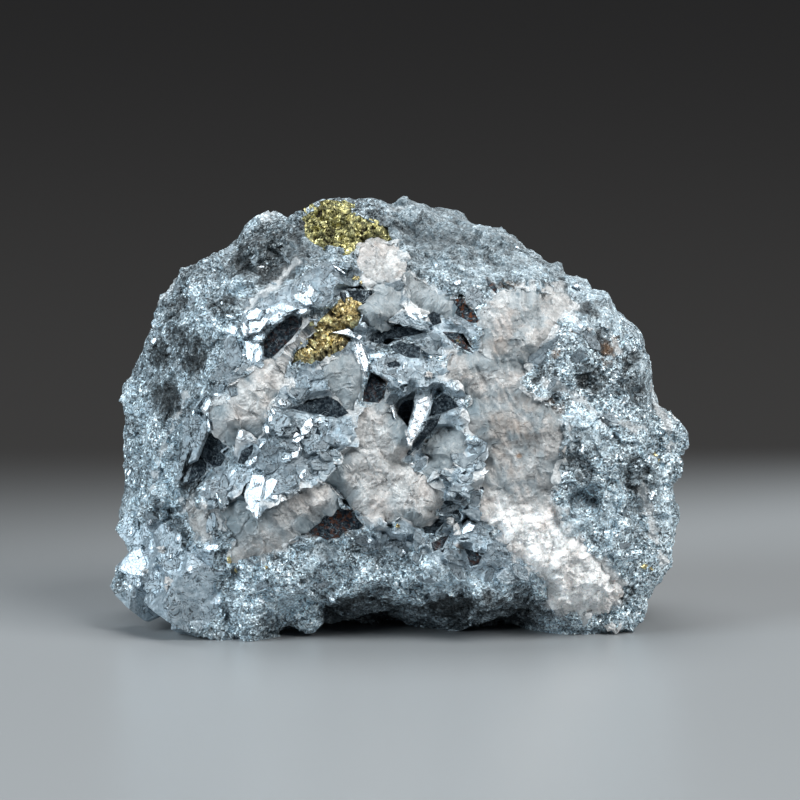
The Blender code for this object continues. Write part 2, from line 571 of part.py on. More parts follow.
def add_ground(collection):
    """A cutter that takes off all that lies below the ground, which leaves the feet flat."""
    builder = bmesh.new()
    size = 5.0 * HALF_SIZE[0] * MM
    bmesh.ops.create_cube(builder, size=size)
    bmesh.ops.translate(builder, verts=builder.verts, vec=(0.0, 0.0, -size / 2))
    add_object("ground", builder, collection)


def helper_collection(name):
    made = bpy.data.collections.new(name)
    bpy.context.scene.collection.children.link(made)
    return made


def add_boolean(body, name, operation, collection):
    """The exact solver leaves open edges where dozens of blocks cross, so this takes the manifold one."""
    modifier = body.modifiers.new(name, "BOOLEAN")
    modifier.operation = operation
    modifier.operand_type = "COLLECTION"
    modifier.collection = collection
    modifier.solver = "MANIFOLD"


def applied(body):
    """The object with its modifiers applied, as one closed piece: chips that a cut set free are dropped."""
    graph = bpy.context.evaluated_depsgraph_get()
    builder = bmesh.new()
    builder.from_mesh(body.evaluated_get(graph).to_mesh())
    bmesh.ops.triangulate(builder, faces=builder.faces)
    left = set(builder.verts)
    pieces = []
    while left:
        piece = {left.pop()}
        edge = list(piece)
        while edge:
            near = {e.other_vert(v) for v in edge for e in v.link_edges} - piece
            piece |= near
            edge = list(near)
        left -= piece
        pieces.append(piece)
    pieces.sort(key=len)
    for piece in pieces[:-1]:
        bmesh.ops.delete(builder, geom=list(piece), context="VERTS")
    body.modifiers.clear()
    builder.to_mesh(body.data)
    builder.free()


def centre_on_origin(ore):
    """Moves every body so that the rock stands on the ground with the middle of its length and depth at 0."""
    corners = [vertex.co for vertex in ore.data.vertices]
    middle_x = (min(c.x for c in corners) + max(c.x for c in corners)) / 2
    middle_y = (min(c.y for c in corners) + max(c.y for c in corners)) / 2
    shift = Matrix.Translation((-middle_x, -middle_y, 0.0))
    for body in bpy.data.objects:
        body.data.transform(shift)


def main():
    for old in list(bpy.data.objects):
        bpy.data.objects.remove(old)
    ore_grey = new_material("skutterudite", (0.42, 0.46, 0.5), 0.9, 0.42)
    calcite_white = new_material("calcite", (0.82, 0.77, 0.73), 0.0, 0.5)
    brass_yellow = new_material("chalcopyrite", (0.68, 0.5, 0.16), 0.9, 0.35)

    ore = rock_body("skutterudite_ore")
    ore.data.materials.append(ore_grey)
    thin = ore.modifiers.new("thin", "DECIMATE")
    thin.ratio = ORE_TRIANGLES_KEPT
    bpy.context.view_layer.update()
    applied(ore)

    tree = BVHTree.FromObject(ore, bpy.context.evaluated_depsgraph_get())
    grown = helper_collection("grown_on")
    pockets = helper_collection("pockets")
    sockets = helper_collection("sockets")
    for name, (outline, right, up, proud) in PLATES.items():
        add_plate(name, outline, right, up, proud, tree, grown)
    for name, (place, behind, half, turn) in CRYSTALS.items():
        add_crystal(name, place, behind, half, turn, tree, grown)
    add_blocks(tree, grown)
    add_jumble(tree, grown)
    for name, (outline, deep, slide) in POCKETS.items():
        add_pocket(name, outline, deep, slide, tree, pockets)

    for name, outline in CALCITE.items():
        spacing = VEIN_SPACING if name == "calcite_vein" else CALCITE_SPACING
        add_seated(
            name, outline, CALCITE_ROOT, CALCITE_PROUD, CALCITE_RELIEF, spacing, sockets, tree, calcite_white
        )
    for name, outline in CHALCOPYRITE.items():
        add_seated(
            name, outline, CHALCOPYRITE_ROOT, CHALCOPYRITE_PROUD, CHALCOPYRITE_RELIEF, CHALCOPYRITE_SPACING,
            sockets, tree, brass_yellow
        )
    add_ground(sockets)

    add_boolean(ore, "grown_on", "UNION", grown)
    add_boolean(ore, "pockets", "DIFFERENCE", pockets)
    add_boolean(ore, "sockets", "DIFFERENCE", sockets)
    bpy.context.view_layer.update()
    applied(ore)
    centre_on_origin(ore)


main()
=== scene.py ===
"""The looks of the skutterudite specimen: grained metallic ore, crystal faces, calcite and chalcopyrite."""

import math
import random
from itertools import product

import bpy
import numpy as np
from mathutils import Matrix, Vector
from mathutils.bvhtree import BVHTree
from mathutils.geometry import tessellate_polygon


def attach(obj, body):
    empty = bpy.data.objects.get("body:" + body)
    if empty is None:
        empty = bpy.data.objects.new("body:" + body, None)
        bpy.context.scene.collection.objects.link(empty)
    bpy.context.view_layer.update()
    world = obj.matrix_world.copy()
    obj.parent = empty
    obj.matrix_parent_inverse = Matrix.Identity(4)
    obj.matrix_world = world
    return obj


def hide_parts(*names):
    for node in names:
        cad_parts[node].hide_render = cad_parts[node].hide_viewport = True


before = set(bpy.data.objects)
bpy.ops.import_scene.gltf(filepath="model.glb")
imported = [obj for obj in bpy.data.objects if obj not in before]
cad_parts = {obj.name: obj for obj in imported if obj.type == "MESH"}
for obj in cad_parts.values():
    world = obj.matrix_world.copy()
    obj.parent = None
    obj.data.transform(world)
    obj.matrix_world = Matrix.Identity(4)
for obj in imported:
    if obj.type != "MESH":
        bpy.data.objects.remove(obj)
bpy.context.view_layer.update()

MM = 0.001  # shapes are worked out in millimetres, and add_piece makes them metres

# The plane that outlines are drawn on, in millimetres: x to the right, w up it, depth away from the viewer.
VIEW_TILT = math.radians(8.0)
PLANE_ORIGIN = np.array((0.046, 1.274, 0.0))
RIGHT = np.array((1.0, 0.0, 0.0))
UP = np.array((0.0, math.sin(VIEW_TILT), math.cos(VIEW_TILT)))
AWAY = np.array((0.0, math.cos(VIEW_TILT), -math.sin(VIEW_TILT)))

CAMERA_DISTANCE = 1000.0
CAMERA_AIM = 36.3  # height on the view plane of the point in the middle of the picture
LENS, FILM_WIDTH = 270.9, 36.0

FRONT_EDGE = 0.46  # longest edge of the fine mesh where it is seen from the front, in millimetres
BACK_EDGE = 0.9
CALCITE_EDGE = 0.34  # longest edge on the face of a seated mineral
BRASS_EDGE = 0.24
HIDDEN_EDGE = 2.0  # and on its hidden back
FLAT_EDGE = 0.5  # and within a crystal face
SOFT_EDGE = 1.2  # longest edge while the coarse blocks are rounded off
SOFT_ROUNDS = 9
GROUND = 0.1  # rock below this height keeps its flat base, in millimetres
SEAM_ZONE = 4.0  # every seam between two minerals lies in front of this, along y
IN_FRONT = -60.0  # a depth in front of all the rock
# Where the front of the ore is divided into pieces, along x.
ORE_SPLITS = (-math.inf, -26.0, -6.0, 14.0, 29.0, math.inf)
FLAT_WITHIN = math.cos(math.radians(1.5))  # faces that turn less than this from each other are one flat face
FLAT_AREA = 4.0  # a flat face larger than this, in square millimetres, stays smooth
FLAT_RELIEF = 0.14  # share of the rock's own relief that shows on it
BROKEN_RELIEF = 0.6  # and between such faces
SIDE_CALM = 0.35  # share that is lost where the rock turns away from the viewer

# Where flat faces stay smooth, as outlines on the view plane.
BROKEN_FACE = [
    (-25.5, 52.0), (-18.0, 56.0), (-8.0, 57.0), (3.0, 56.0), (12.0, 52.0), (12.5, 40.0), (15.0, 28.0),
    (16.0, 18.0), (23.0, 8.0), (12.0, 7.5), (2.0, 11.0), (-12.0, 15.0), (-24.0, 12.0), (-27.0, 18.0),
    (-34.0, 24.0), (-33.0, 36.0), (-26.0, 42.0),
]
CORNER_CRYSTALS = [
    (-46.0, 2.0), (-46.0, 16.0), (-40.0, 18.0), (-35.0, 14.0), (-29.0, 10.0), (-30.0, -2.0), (-40.0, -2.0),
]

# Large odd numbers and shifts that turn the number of a cell into a random one of 32 bits.
CELL_PRIMES = (73856093, 19349663, 83492791)
SEED_PRIME = 2654435761
MIXING = ((15, 2246822519), (13, 3266489917))
LOW_BITS = 0xFFFFFFFF

# How a face is divided when none, one, two or three of its edges are cut. 0 to 2 are its corners, and 3 to 5
# the middles of the edges that start there.
DIVISIONS = (
    ((0, 1, 2),),
    ((0, 3, 2), (3, 1, 2)),
    ((3, 1, 4), (0, 3, 4), (0, 4, 2)),
    ((0, 3, 5), (3, 1, 4), (5, 4, 2), (3, 4, 5)),
)

# Dark broken crystals between the bright ones, as (share of rust, outline on the view plane). Their black is
# partly painted shade in the hollows.
SHADED_BLACK_FACES = {
    "step": (0.0, [(-8.6, 54.0), (-2.8, 54.2), (-5.0, 51.6), (-6.4, 51.0), (-7.6, 51.6)]),
    "slit": (0.0, [(-9.6, 53.8), (-8.6, 53.6), (-8.8, 51.8), (-9.4, 52.4)]),
    "lens": (0.3, [(-22.0, 46.0), (-19.8, 48.4), (-17.4, 50.0), (-15.8, 49.6), (-15.8, 48.4), (-17.4, 46.2),
        (-21.0, 42.8), (-22.0, 43.4)]),
    "eye": (0.0, [(-4.6, 46.8), (-1.8, 48.4), (1.5, 48.0), (4.5, 47.4), (2.4, 46.8), (-2.4, 46.2),
        (-3.4, 45.3), (-5.0, 45.6)]),
    "under_eye": (0.0, [(-1.6, 45.1), (0.2, 45.8), (3.3, 45.0), (3.1, 43.1), (1.5, 43.1), (-1.3, 44.3)]),
    "rust_hollow": (1.0, [(6.6, 52.4), (10.0, 52.9), (11.5, 51.8), (13.0, 48.8), (11.5, 48.8),
        (8.3, 50.6)]),
    "rust_step": (0.5, [(6.8, 47.4), (9.2, 47.3), (11.3, 44.6), (12.0, 43.8), (10.5, 44.4), (8.2, 46.0)]),
    "brown_slit": (0.7, [(14.0, 56.0), (15.8, 54.4), (15.8, 53.4), (14.2, 55.0)]),
    "notch": (0.3, [(-4.6, 40.0), (-2.2, 38.4), (-2.5, 37.1), (-3.4, 35.8), (-6.0, 36.0), (-5.8, 38.6)]),
    "beside_blade": (0.0, [(0.4, 36.0), (2.6, 36.6), (2.6, 35.0), (1.0, 31.0), (0.0, 30.6), (-1.3, 32.6),
        (-1.2, 33.6)]),
    "behind_blade": (0.0, [(5.3, 36.0), (7.0, 37.4), (8.2, 36.8), (9.5, 35.2), (7.2, 34.4), (4.6, 33.4)]),
    "blade_band": (0.0, [(3.7, 32.8), (6.6, 33.9), (6.0, 32.2), (3.0, 28.8), (1.5, 27.4), (1.2, 27.5),
        (1.8, 29.2)]),
    "cave": (0.0, [(-31.2, 30.8), (-30.0, 31.2), (-28.2, 29.6), (-28.0, 28.8), (-29.2, 28.0), (-28.2, 27.0),
        (-29.0, 25.6), (-30.2, 25.4), (-32.2, 27.2), (-31.6, 29.6)]),
    "cave_side": (0.0, [(-33.4, 26.8), (-32.2, 27.0), (-31.4, 26.0), (-31.4, 24.6), (-32.6, 23.4),
        (-34.6, 22.6)]),
    "heart_side": (0.1, [(-11.3, 22.8), (-9.5, 23.4), (-8.0, 22.6), (-8.4, 21.0), (-6.0, 18.4),
        (-7.0, 18.8), (-9.6, 20.8)]),
    "deep_slit": (0.7, [(-16.6, 15.6), (-9.6, 19.2), (-8.0, 18.4), (-5.8, 16.0), (-9.0, 14.8),
        (-11.6, 13.6)]),
    "rusty_step": (1.0, [(-3.8, 17.6), (-1.3, 17.4), (-1.7, 16.7), (-3.0, 16.7)]),
    "black_step": (0.0, [(3.0, 16.4), (7.2, 16.6), (5.6, 14.8), (4.0, 14.8)]),
    "high_wedge": (0.3, [(10.0, 15.8), (10.3, 17.4), (12.0, 16.8)]),
    "low_wedge": (0.3, [(5.0, 13.2), (8.0, 14.6), (6.8, 12.4), (5.4, 11.8)]),
    "toe_wedge": (0.4, [(10.4, 12.4), (11.8, 12.0), (13.2, 11.0), (12.6, 9.8), (11.4, 9.4)]),
    "triangle": (0.0, [(-18.0, 35.0), (-16.0, 35.6), (-11.6, 37.0), (-10.0, 36.2), (-8.2, 34.2),
        (-10.0, 33.4), (-11.8, 33.8)]),
}

# Single crystal faces with their own outlines on the view plane.
MIRROR_FACES = {
    "tall_mirror": [(-23.8, 24.4), (-22.0, 24.3), (-21.8, 23.2), (-22.4, 20.6), (-22.9, 17.0),
        (-24.3, 18.6), (-24.8, 21.0)],
    "tall_mirror_side": [(-21.6, 23.4), (-20.6, 23.9), (-19.6, 23.4), (-20.6, 21.2), (-21.9, 20.0)],
    "blade": [(2.8, 36.5), (5.0, 37.2), (5.6, 38.0), (4.8, 35.4), (3.6, 32.6), (2.5, 30.4), (1.4, 29.0),
        (1.0, 30.2), (2.2, 33.8)],
    "corner_face": [(-46.0, 8.6), (-44.2, 11.4), (-42.6, 12.2), (-41.4, 9.6), (-42.0, 7.4), (-44.2, 7.6)],
    "crescent_top": [(-22.4, 50.6), (-19.0, 52.0), (-16.4, 51.0), (-17.6, 50.5), (-20.4, 49.6)],
    "crescent_bend": [(-25.8, 48.4), (-23.4, 50.4), (-21.0, 49.3), (-22.6, 47.2), (-24.6, 46.9)],
    "crescent_side": [(-25.2, 46.4), (-22.9, 46.8), (-22.6, 44.2), (-23.6, 42.4), (-24.8, 43.6)],
    "crescent_end": [(-28.6, 47.5), (-27.2, 48.5), (-26.1, 47.9), (-26.6, 46.7)],
    "ledge_rim": [(-11.0, 47.2), (-8.4, 47.9), (-6.0, 46.6), (-6.4, 46.0), (-8.8, 46.9)],
    "ledge_fall": [(-7.2, 45.4), (-6.3, 45.6), (-5.0, 42.2), (-5.4, 39.6), (-6.0, 41.6)],
}
SILKY_FACES = {
    "cave_band": [(-34.8, 34.6), (-31.6, 33.6), (-32.6, 29.0), (-34.4, 23.0), (-36.6, 22.4),
        (-35.6, 28.0)],
    "pale_side": [(-28.6, 46.0), (-26.6, 46.6), (-25.4, 43.6), (-25.8, 41.4), (-28.0, 41.8)],
    "block_side": [(19.6, 42.6), (21.6, 44.0), (25.8, 47.0), (25.0, 44.6), (22.6, 42.0)],
    "roof": [(-2.0, 49.2), (0.4, 50.8), (2.4, 50.2), (4.5, 47.6), (2.0, 48.2)],
    "heart_bar": [(3.0, 27.4), (3.8, 28.8), (5.8, 31.2), (8.0, 31.2), (6.4, 29.8), (4.2, 27.6)],
    "slate": [(9.8, 18.4), (13.0, 19.4), (13.0, 16.6), (11.8, 17.2)],
    "mirror_step": [(-19.8, 23.8), (-17.2, 24.4), (-16.6, 22.8), (-18.2, 21.6), (-19.8, 21.0),
        (-20.9, 21.2)],
}
SLATE_FACES = {
    "right_slate": [(29.4, 48.6), (30.6, 48.2), (32.6, 45.2), (32.6, 44.2), (31.0, 44.6), (29.8, 46.4)],
    "left_slate": [(-31.0, 39.6), (-28.6, 42.4), (-26.6, 41.6), (-28.4, 39.0)],
}

# Smaller ones, as (x, w, length, width, turn in degrees).
MIRROR_CHIPS = [
    (-27.4, 47.8, 2.4, 0.9, 10), (-23.4, 50.2, 3.2, 2.0, 25), (-25.2, 47.6, 2.6, 1.3, 100),
    (-20.0, 49.5, 3.2, 1.6, 30), (-23.0, 46.8, 2.8, 2.2, 60), (-24.4, 43.6, 3.2, 1.4, 95),
    (-22.9, 43.4, 2.8, 0.9, 80), (-15.8, 50.6, 2.0, 0.9, 10), (-14.0, 49.3, 1.8, 0.6, 0),
    (-6.4, 43.2, 4.6, 0.9, 112), (-9.6, 46.8, 2.6, 0.6, 0), (-8.4, 52.8, 2.6, 0.4, 115),
    (-9.8, 57.4, 2.8, 0.4, 145), (-1.2, 34.8, 3.8, 0.4, 105), (-33.4, 33.4, 4.0, 1.2, 80),
    (-31.3, 35.2, 1.6, 1.0, 60), (-29.6, 37.2, 1.2, 0.8, 0), (-27.7, 36.4, 1.6, 0.8, 60),
    (-30.9, 32.4, 2.0, 0.5, 100), (-29.4, 20.6, 2.6, 0.5, 120), (-25.7, 30.8, 1.8, 1.2, 80),
    (-20.4, 34.4, 1.8, 0.5, 110), (-21.4, 31.6, 1.8, 1.0, 95), (-22.2, 29.2, 2.0, 0.6, 55),
    (11.0, 15.6, 3.0, 1.6, 35), (4.2, 49.9, 0.8, 0.6, 0), (-30.6, 12.4, 2.6, 1.2, 10),
    (18.8, 39.1, 1.6, 0.8, 45), (41.2, 20.8, 1.4, 0.8, 60), (5.9, 58.2, 1.4, 0.8, 60),
    (-38.2, 9.6, 1.4, 1.0, 30), (-36.0, 14.0, 1.6, 0.7, 70), (-34.0, 9.0, 1.2, 0.9, 20),
    (-27.0, 24.6, 1.6, 0.6, 60), (13.6, 24.6, 1.8, 0.6, 30), (16.4, 47.0, 1.0, 0.5, 30),
]
SILKY_CHIPS = [
    (-12.3, 52.0, 5.0, 2.0, 5), (12.0, 53.0, 3.6, 3.4, 60), (-32.5, 29.4, 8.0, 1.6, 68),
    (-21.0, 28.2, 3.0, 2.2, 15), (-27.8, 18.9, 2.8, 1.2, -10), (-31.4, 21.0, 2.4, 1.4, -20),
    (-30.6, 16.6, 4.4, 1.8, 75), (10.6, 26.4, 5.0, 1.4, 25), (18.6, 8.0, 5.6, 2.6, 25),
    (-37.2, 9.8, 3.8, 3.2, 20), (-40.2, 6.0, 3.2, 2.6, -10), (1.4, 26.8, 1.8, 1.4, 30),
    (3.2, 52.6, 5.0, 1.0, -32), (-10.4, 22.0, 3.4, 0.5, 128), (7.2, 24.6, 3.0, 1.4, -20),
    (-17.6, 32.0, 3.2, 1.4, 20), (-6.8, 31.0, 2.6, 1.2, -15), (29.0, 43.6, 3.0, 2.4, 40),
    (24.6, 39.0, 3.4, 1.2, 55), (34.0, 33.6, 3.6, 1.4, -35), (22.0, 60.5, 2.6, 1.2, -35),
    (-28.0, 61.0, 2.4, 1.2, 40), (-34.0, 52.5, 2.6, 1.2, 50), (36.5, 12.6, 2.4, 1.4, 10),
    (-12.0, 6.4, 3.4, 1.2, 18), (4.0, 7.2, 3.8, 1.2, -12), (-22.4, 6.2, 2.8, 1.6, 30),
]
CHIP_SEED = 5  # draws their corners

# Random small faces between them: in the broken face, and over the whole front, as (count, longest length).
BROKEN_SCATTER = (170, 4.4)
FRONT_SCATTER = (260, 1.7)
FRONT_SPAN = ((-46.0, 45.0), (3.0, 69.0))  # where they may lie, along x and w

# Small grains on the ore, as (x, w, size).
GOLD_SPECKS = [
    (-7.2, 55.9, 1.0), (-6.2, 55.2, 0.7), (-27.6, 10.4, 1.0), (-26.7, 8.7, 0.8), (-21.6, 9.2, 0.6),
    (41.5, 27.2, 1.1), (42.2, 26.4, 0.7), (39.9, 9.2, 1.0), (41.0, 8.9, 0.6), (-2.3, 69.0, 0.6),
    (9.4, 45.8, 0.6), (-0.4, 16.0, 0.6),
]
WHITE_BITS = [
    (34.9, -0.9, 2.6), (8.6, 16.6, 2.0), (9.3, 15.4, 1.6), (-9.6, 46.4, 0.9), (44.4, 1.8, 1.0),
    (30.6, 47.6, 0.9), (-38.6, 11.8, 1.6), (-37.4, 6.4, 1.8), (-41.6, 8.4, 1.2), (44.9, 33.4, 1.2),
    (-31.2, 17.6, 1.3), (4.6, 40.4, 1.0),
]
GRAINS_IN_CLUSTER = 7  # how many small grains each of them is made of

# Pale veils over the ore, as (width, points along it).
VEILS = [
    (0.9, [(-24.6, 51.4), (-20.8, 54.6), (-16.4, 58.8)]),
    (0.7, [(25.4, 54.4), (27.2, 51.8), (29.2, 48.2)]),
    (0.5, [(33.0, 49.4), (34.2, 46.8), (35.6, 44.4)]),
    (1.0, [(39.4, 22.0), (40.8, 18.0), (41.2, 14.0), (42.6, 10.0)]),
    (0.9, [(23.4, 39.4), (28.0, 37.2), (33.0, 33.0), (40.0, 31.4)]),
    (0.6, [(41.4, 38.0), (43.4, 33.0), (44.6, 29.0)]),
    (0.5, [(-40.4, 22.0), (-38.0, 30.0), (-35.0, 37.0)]),
]

# Where the ore is darker, paler or stained, as (x, w, half-width, half-height). The darker spots are partly
# painted shade: in the hollows, on a top-lit cap and along the foot.
DARKER_AND_SHADED = [
    (-20.6, 59.4, 5.0, 4.6), (-19.4, 62.6, 5.0, 4.0), (-36.5, 51.0, 3.0, 2.4), (-36.0, 44.5, 5.5, 4.0),
    (-28.5, 51.5, 2.0, 1.8), (-22.0, 66.4, 4.6, 2.4), (-38.5, 36.5, 3.0, 3.0), (-34.0, 24.0, 2.0, 5.0),
    (-22.0, 57.6, 3.6, 2.6), (31.0, 51.0, 2.4, 1.8), (23.5, 41.0, 2.6, 2.4), (31.2, 39.6, 2.8, 3.2),
    (32.6, 45.4, 1.6, 2.4), (37.6, 37.4, 2.6, 2.2), (24.8, 54.7, 2.0, 0.9), (26.0, 26.0, 2.0, 1.6),
    (36.0, 5.0, 4.0, 2.0), (-24.4, 59.0, 3.4, 4.0), (12.0, 1.6, 13.0, 3.4), (-6.0, 2.0, 8.0, 2.6),
    (-16.6, 58.4, 3.0, 3.0), (38.6, 24.0, 2.4, 3.0), (37.0, 41.0, 1.8, 4.0),
]
PALER = [
    (30.0, 33.0, 8.0, 1.6), (36.0, 28.0, 6.0, 5.0), (43.0, 36.0, 1.6, 4.0), (-43.0, 30.0, 2.0, 16.0),
    (-30.0, 8.0, 8.0, 6.0), (-10.0, 8.0, 8.0, 3.0), (30.0, 12.0, 6.0, 6.0),
]
RUSTY = [
    (9.6, 51.0, 2.0, 2.0), (27.9, 47.2, 0.9, 0.9), (10.0, 45.6, 1.2, 1.2), (-11.5, 15.8, 4.0, 1.5),
    (9.0, 12.5, 1.0, 1.0), (33.5, 44.0, 1.2, 2.0), (17.5, 55.0, 2.4, 0.9), (-2.5, 39.0, 1.0, 1.0),
    (25.0, 44.6, 1.2, 1.4), (24.4, 34.0, 2.4, 3.0), (35.0, 45.6, 0.8, 1.6),
]

VEIN = "calcite_vein"
VEIN_STAINS = [(16.0, 45.0, 2.0, 1.5), (17.0, 33.0, 5.0, 5.0), (15.6, 24.0, 2.6, 6.0)]
VEIN_SPOT = [(19.2, 27.3, 0.5, 0.4)]  # one small rusty spot
VEIN_LUMPS = ((3.2, 1.5), (1.6, 0.7), (0.7, 0.36))  # the blocky lower part, as (size, rise)
GREY_CALCITE = ("calcite_grey", "calcite_block", "calcite_strip", "calcite_shoulder")

# Colours, from the darker to the paler one where there are two.
GRAIN_GREYS = (0.235, 0.31, 0.36), (0.42, 0.495, 0.54)
FACE_GREYS = (0.185, 0.24, 0.28), (0.325, 0.385, 0.43)
MIRROR_GREYS = (0.26, 0.32, 0.37), (0.60, 0.66, 0.71)
# The black of the broken crystals, partly painted shade.
BLACKS_AND_SHADE = (0.008, 0.014, 0.021), (0.07, 0.095, 0.115)
SCRATCH_GREY = (0.34, 0.41, 0.46)
RUST_SPECKS, ORE_STAIN, LIME_WHITE = (0.10, 0.036, 0.017), (0.24, 0.15, 0.09), (0.60, 0.625, 0.64)
CALCITE_WHITES = (0.43, 0.44, 0.445), (0.64, 0.655, 0.66)
CALCITE_PINK, CALCITE_GREY = (0.57, 0.525, 0.50), (0.215, 0.275, 0.31)
CALCITE_PITS, CALCITE_STAIN, CALCITE_FLECKS = (0.16, 0.19, 0.205), (0.36, 0.27, 0.21), (0.13, 0.18, 0.21)
CALCITE_GLOW = 0.2  # share of the light that goes into the calcite
PALE_BRASS = (0.20, 0.20, 0.10), (0.56, 0.53, 0.25)
GOLD_BRASS = (0.48, 0.38, 0.18), (0.95, 0.82, 0.46)
BRASS_PITS = (0.05, 0.045, 0.03)
# The floor's back colour is painted shade, where the lamps' light falls off.
FLOOR_FRONT, FLOOR_BACK = (0.295, 0.315, 0.33), (0.028, 0.027, 0.026)

# How far each kind of crystal face stands out of the rock around it, in millimetres.
KIND_PROUD = {"mirror": 0.4, "silky": 0.25, "slate": 0.1, "dark": 0.0}
FACE_BEVEL = 0.14
FACE_THICK = 0.8
FACE_LIFT = 2.6  # most that the rock is raised or cut to carry a face
FACE_MARGIN = 0.35  # and how far round it
FACE_CLEAR = 1.3  # rock in front of a face is cut this far round it
FACE_GAP = 0.1  # and ends this far under it
FACING = 0.25  # how squarely the rock has to face the viewer to carry a face
SCATTER_FACING = 0.42  # and a random one
# How far a face turns from the rock's own slope towards the direction that mirrors a lamp into the view.
KIND_TURN = {"mirror": 0.8, "silky": 0.35, "slate": 0.15, "dark": 0.0}
FACE_LEAN = 0.3  # and how far it leans towards the viewer first
KIND_SHADE = {"mirror": 1.0, "silky": 0.93, "slate": 0.8, "dark": 1.0}

# Where the lamps stand, and the point that they face, in metres.
KEY_PLACE, FILL_PLACE, TOP_PLACE = (0.55, -0.45, 0.75), (-0.8, -0.5, 0.5), (-0.1, 0.25, 0.9)
LAMP_AIM = (0.0, 0.0, 0.035)
KEY_COLOUR, FILL_COLOUR, TOP_COLOUR = (1.0, 0.99, 0.97), (0.88, 0.96, 1.0), (1.0, 1.0, 1.0)
STUDIO_GREY = (0.05, 0.05, 0.052, 1.0)

SEAM_SINK = 0.3  # how far calcite dips under the ore at its edge, in millimetres
SEAM_SLOPE = 1.8  # how far in from its edge it starts to dip
SEAM_REACH = 0.9  # how far its edge goes on under the ore
SEAM_DEPTH = 2.1  # and the most that it dips
LOOK_OUT = 0.7  # how far beside an outline the depth of the ore is looked up
BATCH = 4096  # how many places are worked out at a time
CALCITE_SEED, BRASS_SEED = 40, 60


def on_plane(points):
    """(x, w, depth) of points, in millimetres."""
    rel = points - PLANE_ORIGIN
    return rel @ RIGHT, rel @ UP, rel @ AWAY


def in_space(x, w, depth):
    """The point at a place on the view plane and a depth behind it, in millimetres."""
    return PLANE_ORIGIN + RIGHT * x + UP * w + AWAY * depth


def turned(x, w, turn):
    """How far places lie along and across a direction on the view plane, given in degrees."""
    spin = math.radians(turn)
    return x * math.cos(spin) + w * math.sin(spin), w * math.cos(spin) - x * math.sin(spin)


def hit_from_view(tree, x, w):
    """The place and the slope where the line of view at (x, w) meets the rock, or nothing."""
    place, normal, _, _ = tree.ray_cast(Vector(in_space(x, w, IN_FRONT)), Vector(AWAY))
    return None if place is None else (np.array(place), np.array(normal))


def hashed(cells, seed):
    """Three random numbers from 0 to 1 for each whole-number cell."""
    x, y, z = (cells * CELL_PRIMES).T
    n = x ^ y ^ z ^ (seed + 7) * SEED_PRIME
    out = []
    for _ in range(3):
        for shift, prime in MIXING:
            n = (n ^ (n >> shift)) * prime & LOW_BITS
        out.append(n / LOW_BITS)
    return np.stack(out, axis=1)


def grains(points, size, seed):
    """The nearest of many scattered centres to each point, and its own random vector from -1 to 1."""
    scaled = points / size
    home = np.floor(scaled).astype(np.int64)
    best = np.full(len(points), np.inf)
    centre = np.zeros_like(points)
    owner = np.zeros_like(home)
    for step in product((-1, 0, 1), repeat=3):
        cell = home + step
        spot = cell + hashed(cell, seed)
        gap = ((spot - scaled) ** 2).sum(axis=1)
        nearer = gap < best
        best[nearer] = gap[nearer]
        centre[nearer] = spot[nearer]
        owner[nearer] = cell[nearer]
    return centre * size, hashed(owner, seed + 101) * 2.0 - 1.0


def tilted_grains(points, size, seed):
    """How far each grain's own slope raises each point, and the grain's own random vector."""
    centre, own = grains(points, size, seed)
    return ((points - centre) * own).sum(axis=1), own


def soft_noise(points, size, seed):
    """Smooth noise from -1 to 1 with lumps of this size."""
    scaled = points / size
    home = np.floor(scaled).astype(np.int64)
    part = scaled - home
    part = part * part * (3.0 - 2.0 * part)
    total = np.zeros(len(points))
    for step in product((0, 1), repeat=3):
        weight = np.ones(len(points))
        for axis, high in enumerate(step):
            weight *= part[:, axis] if high else 1.0 - part[:, axis]
        total += weight * hashed(home + step, seed)[:, 0]
    return total * 2.0 - 1.0


def mesh_arrays(source):
    """The mesh's points in millimetres, each one once, and its triangles."""
    mesh = source.data
    mesh.calc_loop_triangles()
    points = np.empty(len(mesh.vertices) * 3)
    mesh.vertices.foreach_get("co", points)
    points = points.reshape(-1, 3) / MM
    faces = np.empty(len(mesh.loop_triangles) * 3, int)
    mesh.loop_triangles.foreach_get("vertices", faces)
    _, first, index = np.unique(np.round(points, 3), axis=0, return_index=True, return_inverse=True)
    faces = index.reshape(-1)[faces].reshape(-1, 3)
    whole = (faces[:, 0] != faces[:, 1]) & (faces[:, 1] != faces[:, 2]) & (faces[:, 0] != faces[:, 2])
    return points[first], faces[whole]


def cross_of(points, faces):
    """The direction that each face points in, with twice its area as its length."""
    a, b, c = (points[faces[:, k]] for k in range(3))
    return np.cross(b - a, c - a)


def edges_of(faces, count):
    """Each edge once as a pair of points, and the three edges of each face."""
    ends = np.sort(np.concatenate([faces[:, [0, 1]], faces[:, [1, 2]], faces[:, [2, 0]]]), axis=1)
    keys, index = np.unique(ends[:, 0] * count + ends[:, 1], return_inverse=True)
    return np.stack([keys // count, keys % count], axis=1), index.reshape(3, -1).T


def flat_groups(points, faces):
    """For each face, the area of the flat face that it is part of."""
    cross = cross_of(points, faces)
    area = np.linalg.norm(cross, axis=1) / 2
    normal = cross / np.maximum(area[:, None] * 2, 1e-9)
    _, index = edges_of(faces, len(points))
    order = np.argsort(index.reshape(-1), kind="stable")
    owner = np.repeat(np.arange(len(faces)), 3)[order]
    key = index.reshape(-1)[order]
    same = key[1:] == key[:-1]
    left, right = owner[:-1][same], owner[1:][same]
    level = (normal[left] * normal[right]).sum(axis=1) > FLAT_WITHIN
    left, right = left[level], right[level]
    group = np.arange(len(faces))
    while True:
        low = np.minimum(group[left], group[right])
        before = group.copy()
        np.minimum.at(group, left, low)
        np.minimum.at(group, right, low)
        if (group == before).all():
            break
    return np.bincount(group, weights=area, minlength=len(faces))[group]


